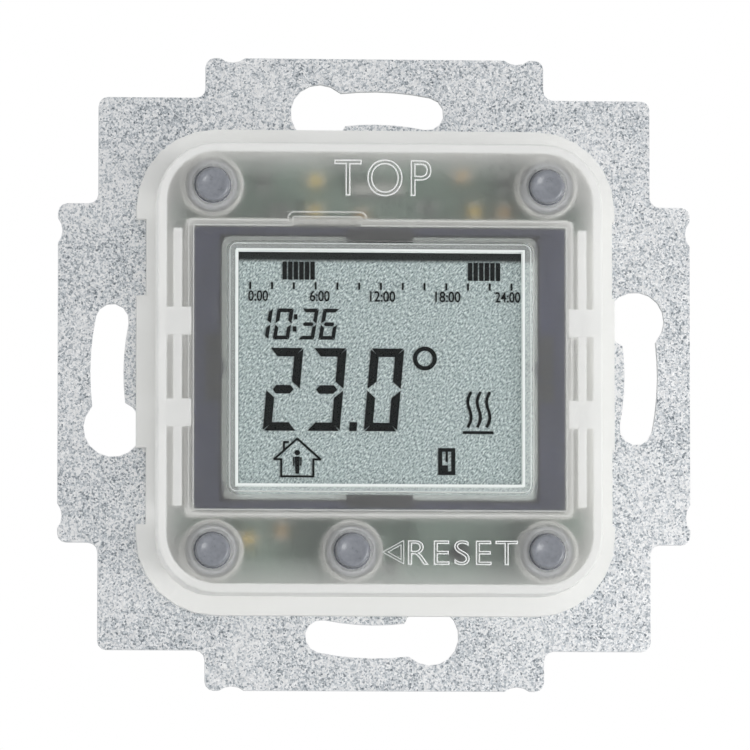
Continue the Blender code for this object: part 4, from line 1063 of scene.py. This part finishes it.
def clear_acrylic():
    """Polished acrylic: colourless, with a soft haze of fine wiping marks."""
    material, tree, place = finish_named("clear_acrylic_polished")
    haze = put(tree, "TexNoise", {"Scale": 1 / 0.004, "Detail": 2.0}, {"Vector": place})
    shine = put(tree, "MapRange", {"To Min": 0.0, "To Max": 0.05}, {"Value": haze.outputs["Fac"]})
    # the bevel and a thin band along its outline are made rough and opaque white, a painted highlight line;
    # the glued lip outside it is hazy
    facing = put(tree, "SeparateXYZ", {}, {0: put(tree, "TexCoord", {}).outputs["Normal"]})
    flatness = put(tree, "Math", {"operation": "ABSOLUTE"}, {0: facing.outputs["Y"]})
    slope = put(tree, "MapRange", {"From Min": 0.97, "From Max": 0.90}, {"Value": flatness.outputs[0]})
    part = put(tree, "SeparateXYZ", {}, {0: place})
    wide = put(tree, "Math", {"operation": "ABSOLUTE"}, {0: part.outputs["X"]})
    tall = put(tree, "Math", {"operation": "ABSOLUTE"}, {0: part.outputs["Z"]})
    past_side = put(tree, "Math", {"operation": "SUBTRACT", 1: BEVEL_HALF_WIDTH}, {0: wide.outputs[0]})
    past_top = put(tree, "Math", {"operation": "SUBTRACT", 1: BEVEL_HALF_HEIGHT}, {0: tall.outputs[0]})
    past = put(tree, "Math", {"operation": "MAXIMUM"}, {0: past_side.outputs[0], 1: past_top.outputs[0]})
    glued = put(
        tree,
        "MapRange",
        {"From Min": BEVEL_LINE / 2, "From Max": BEVEL_LINE, "To Max": 0.22},
        {"Value": past.outputs[0]},
    )
    off = put(tree, "Math", {"operation": "ABSOLUTE"}, {0: past.outputs[0]})
    fade = {"From Min": BEVEL_LINE * 0.6, "From Max": BEVEL_LINE * 0.4}
    line = put(tree, "MapRange", fade, {"Value": off.outputs[0]})
    edges = put(tree, "Math", {"operation": "MAXIMUM"}, {0: slope.outputs[0], 1: glued.outputs[0]})
    haze_and_painted_highlight = put(tree, "Math", {"operation": "MAXIMUM"}, {0: edges.outputs[0], 1: line.outputs[0]})
    clear = put(tree, "MapRange", {"To Min": 1.0, "To Max": 0.05}, {"Value": haze_and_painted_highlight.outputs[0]})
    rough = put(tree, "MapRange", {"To Max": 0.5}, {"Value": haze_and_painted_highlight.outputs[0]})
    dulled = put(tree, "Math", {"operation": "ADD"}, {0: shine.outputs[0], 1: rough.outputs[0]})
    # a coating against reflections keeps the display easy to read, hence the low index
    body = put(
        tree,
        "BsdfPrincipled",
        {"Base Color": linear("#F6FAF8"), "IOR": 1.27},
        {"Roughness": dulled.outputs[0], "Transmission Weight": clear.outputs[0]},
    )
    in_shade = put(tree, "LightPath", {}).outputs["Is Shadow Ray"]
    through = put(tree, "BsdfTransparent", {"Color": linear("#F2F4F3")})
    whole = put(tree, "MixShader", {}, {0: in_shade, 1: body.outputs[0], 2: through.outputs[0]})
    return shown(material, whole)


carry(clear_acrylic(), "display_window")


# The push pins, moulded in blue-grey polycarbonate. Each head is dished, with a rounded polished rim,
# and stands just proud of its hole.
def pin_polycarbonate():
    """Polycarbonate in a smoky blue-grey, with a fine grain and a thin clear coat."""
    material, tree, place = finish_named("blue_grey_polycarbonate_moulded")
    grain = put(tree, "TexNoise", {"Scale": 1 / 0.0005, "Detail": 3.0}, {"Vector": place})
    tint = ramp(tree, grain.outputs["Fac"], (0.3, "#7C7F86"), (0.7, "#8A8D94"))
    shine = put(tree, "MapRange", {"To Min": 0.22, "To Max": 0.38}, {"Value": grain.outputs["Fac"]})
    bump = put(tree, "Bump", {"Strength": 0.25, "Distance": 0.00002}, {"Height": grain.outputs["Fac"]})
    body = put(
        tree,
        "BsdfPrincipled",
        {"IOR": 1.5, "Coat Weight": 0.3, "Coat Roughness": 0.12},
        {"Base Color": tint.outputs[0], "Roughness": shine.outputs[0], "Normal": bump.outputs[0]},
    )
    return shown(material, body)


pin_plastic = pin_polycarbonate()
PIN_R = 0.00188
DISH = 0.00030
RIM = 0.00042
COLLAR_R = 0.0028
COLLAR_THICK = 0.0007
SHANK_R = 0.0015
COLLAR_GAP = 0.0003  # from the inside of the front to the collar, while the pin is out
COLLAR_CHAMFER = 0.0001
SHANK_CHAMFER = 0.0002
collar_front = cover_front + WALL + COLLAR_GAP
for pin in PINS:
    pin_low, pin_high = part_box(f"button_{pin}")
    middle = (pin_low + pin_high) / 2
    head = pin_low.y
    profile = [(0.0, head + DISH)]
    for i in range(1, 6):
        share = i / 5
        profile.append(((PIN_R - RIM) * share, head + DISH * (1 - share**2)))
    for i in range(1, 7):
        turn = math.pi / 2 * i / 6
        profile.append((PIN_R - RIM + RIM * math.sin(turn), head + RIM * (1 - math.cos(turn))))
    profile += [(PIN_R, collar_front), (COLLAR_R - COLLAR_CHAMFER, collar_front)]
    profile += [(COLLAR_R, collar_front + COLLAR_CHAMFER), (COLLAR_R, collar_front + COLLAR_THICK)]
    profile += [(SHANK_R, collar_front + COLLAR_THICK), (SHANK_R, pin_high.y - SHANK_CHAMFER)]
    profile += [(SHANK_R - SHANK_CHAMFER, pin_high.y), (0.0, pin_high.y)]
    steps = 48
    shape = bmesh.new()
    loops = []
    for radius, y in profile:
        if radius == 0.0:
            loops.append([shape.verts.new((middle.x, y, middle.z))])
            continue
        turns = [math.tau * i / steps for i in range(steps)]
        spots = [(middle.x + radius * math.cos(t), y, middle.z + radius * math.sin(t)) for t in turns]
        loops.append([shape.verts.new(spot) for spot in spots])
    for near, far in zip(loops, loops[1:]):
        for i in range(steps):
            following = (i + 1) % steps
            corners = [near[i % len(near)], near[following % len(near)]]
            corners += [far[following % len(far)], far[i % len(far)]]
            shape.faces.new(list(dict.fromkeys(corners)))
    bmesh.ops.recalc_face_normals(shape, faces=shape.faces)
    mesh = bpy.data.meshes.new(f"pin_{pin}")
    shape.to_mesh(mesh)
    shape.free()
    mesh.materials.append(pin_plastic)
    mesh.shade_smooth()
    mesh.set_sharp_from_angle(angle=math.radians(40))
    turned_pin = bpy.data.objects.new(f"pin_{pin}", mesh)
    bpy.context.scene.collection.objects.link(turned_pin)
    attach(turned_pin, f"pin_{pin}")
    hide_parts(f"button_{pin}")
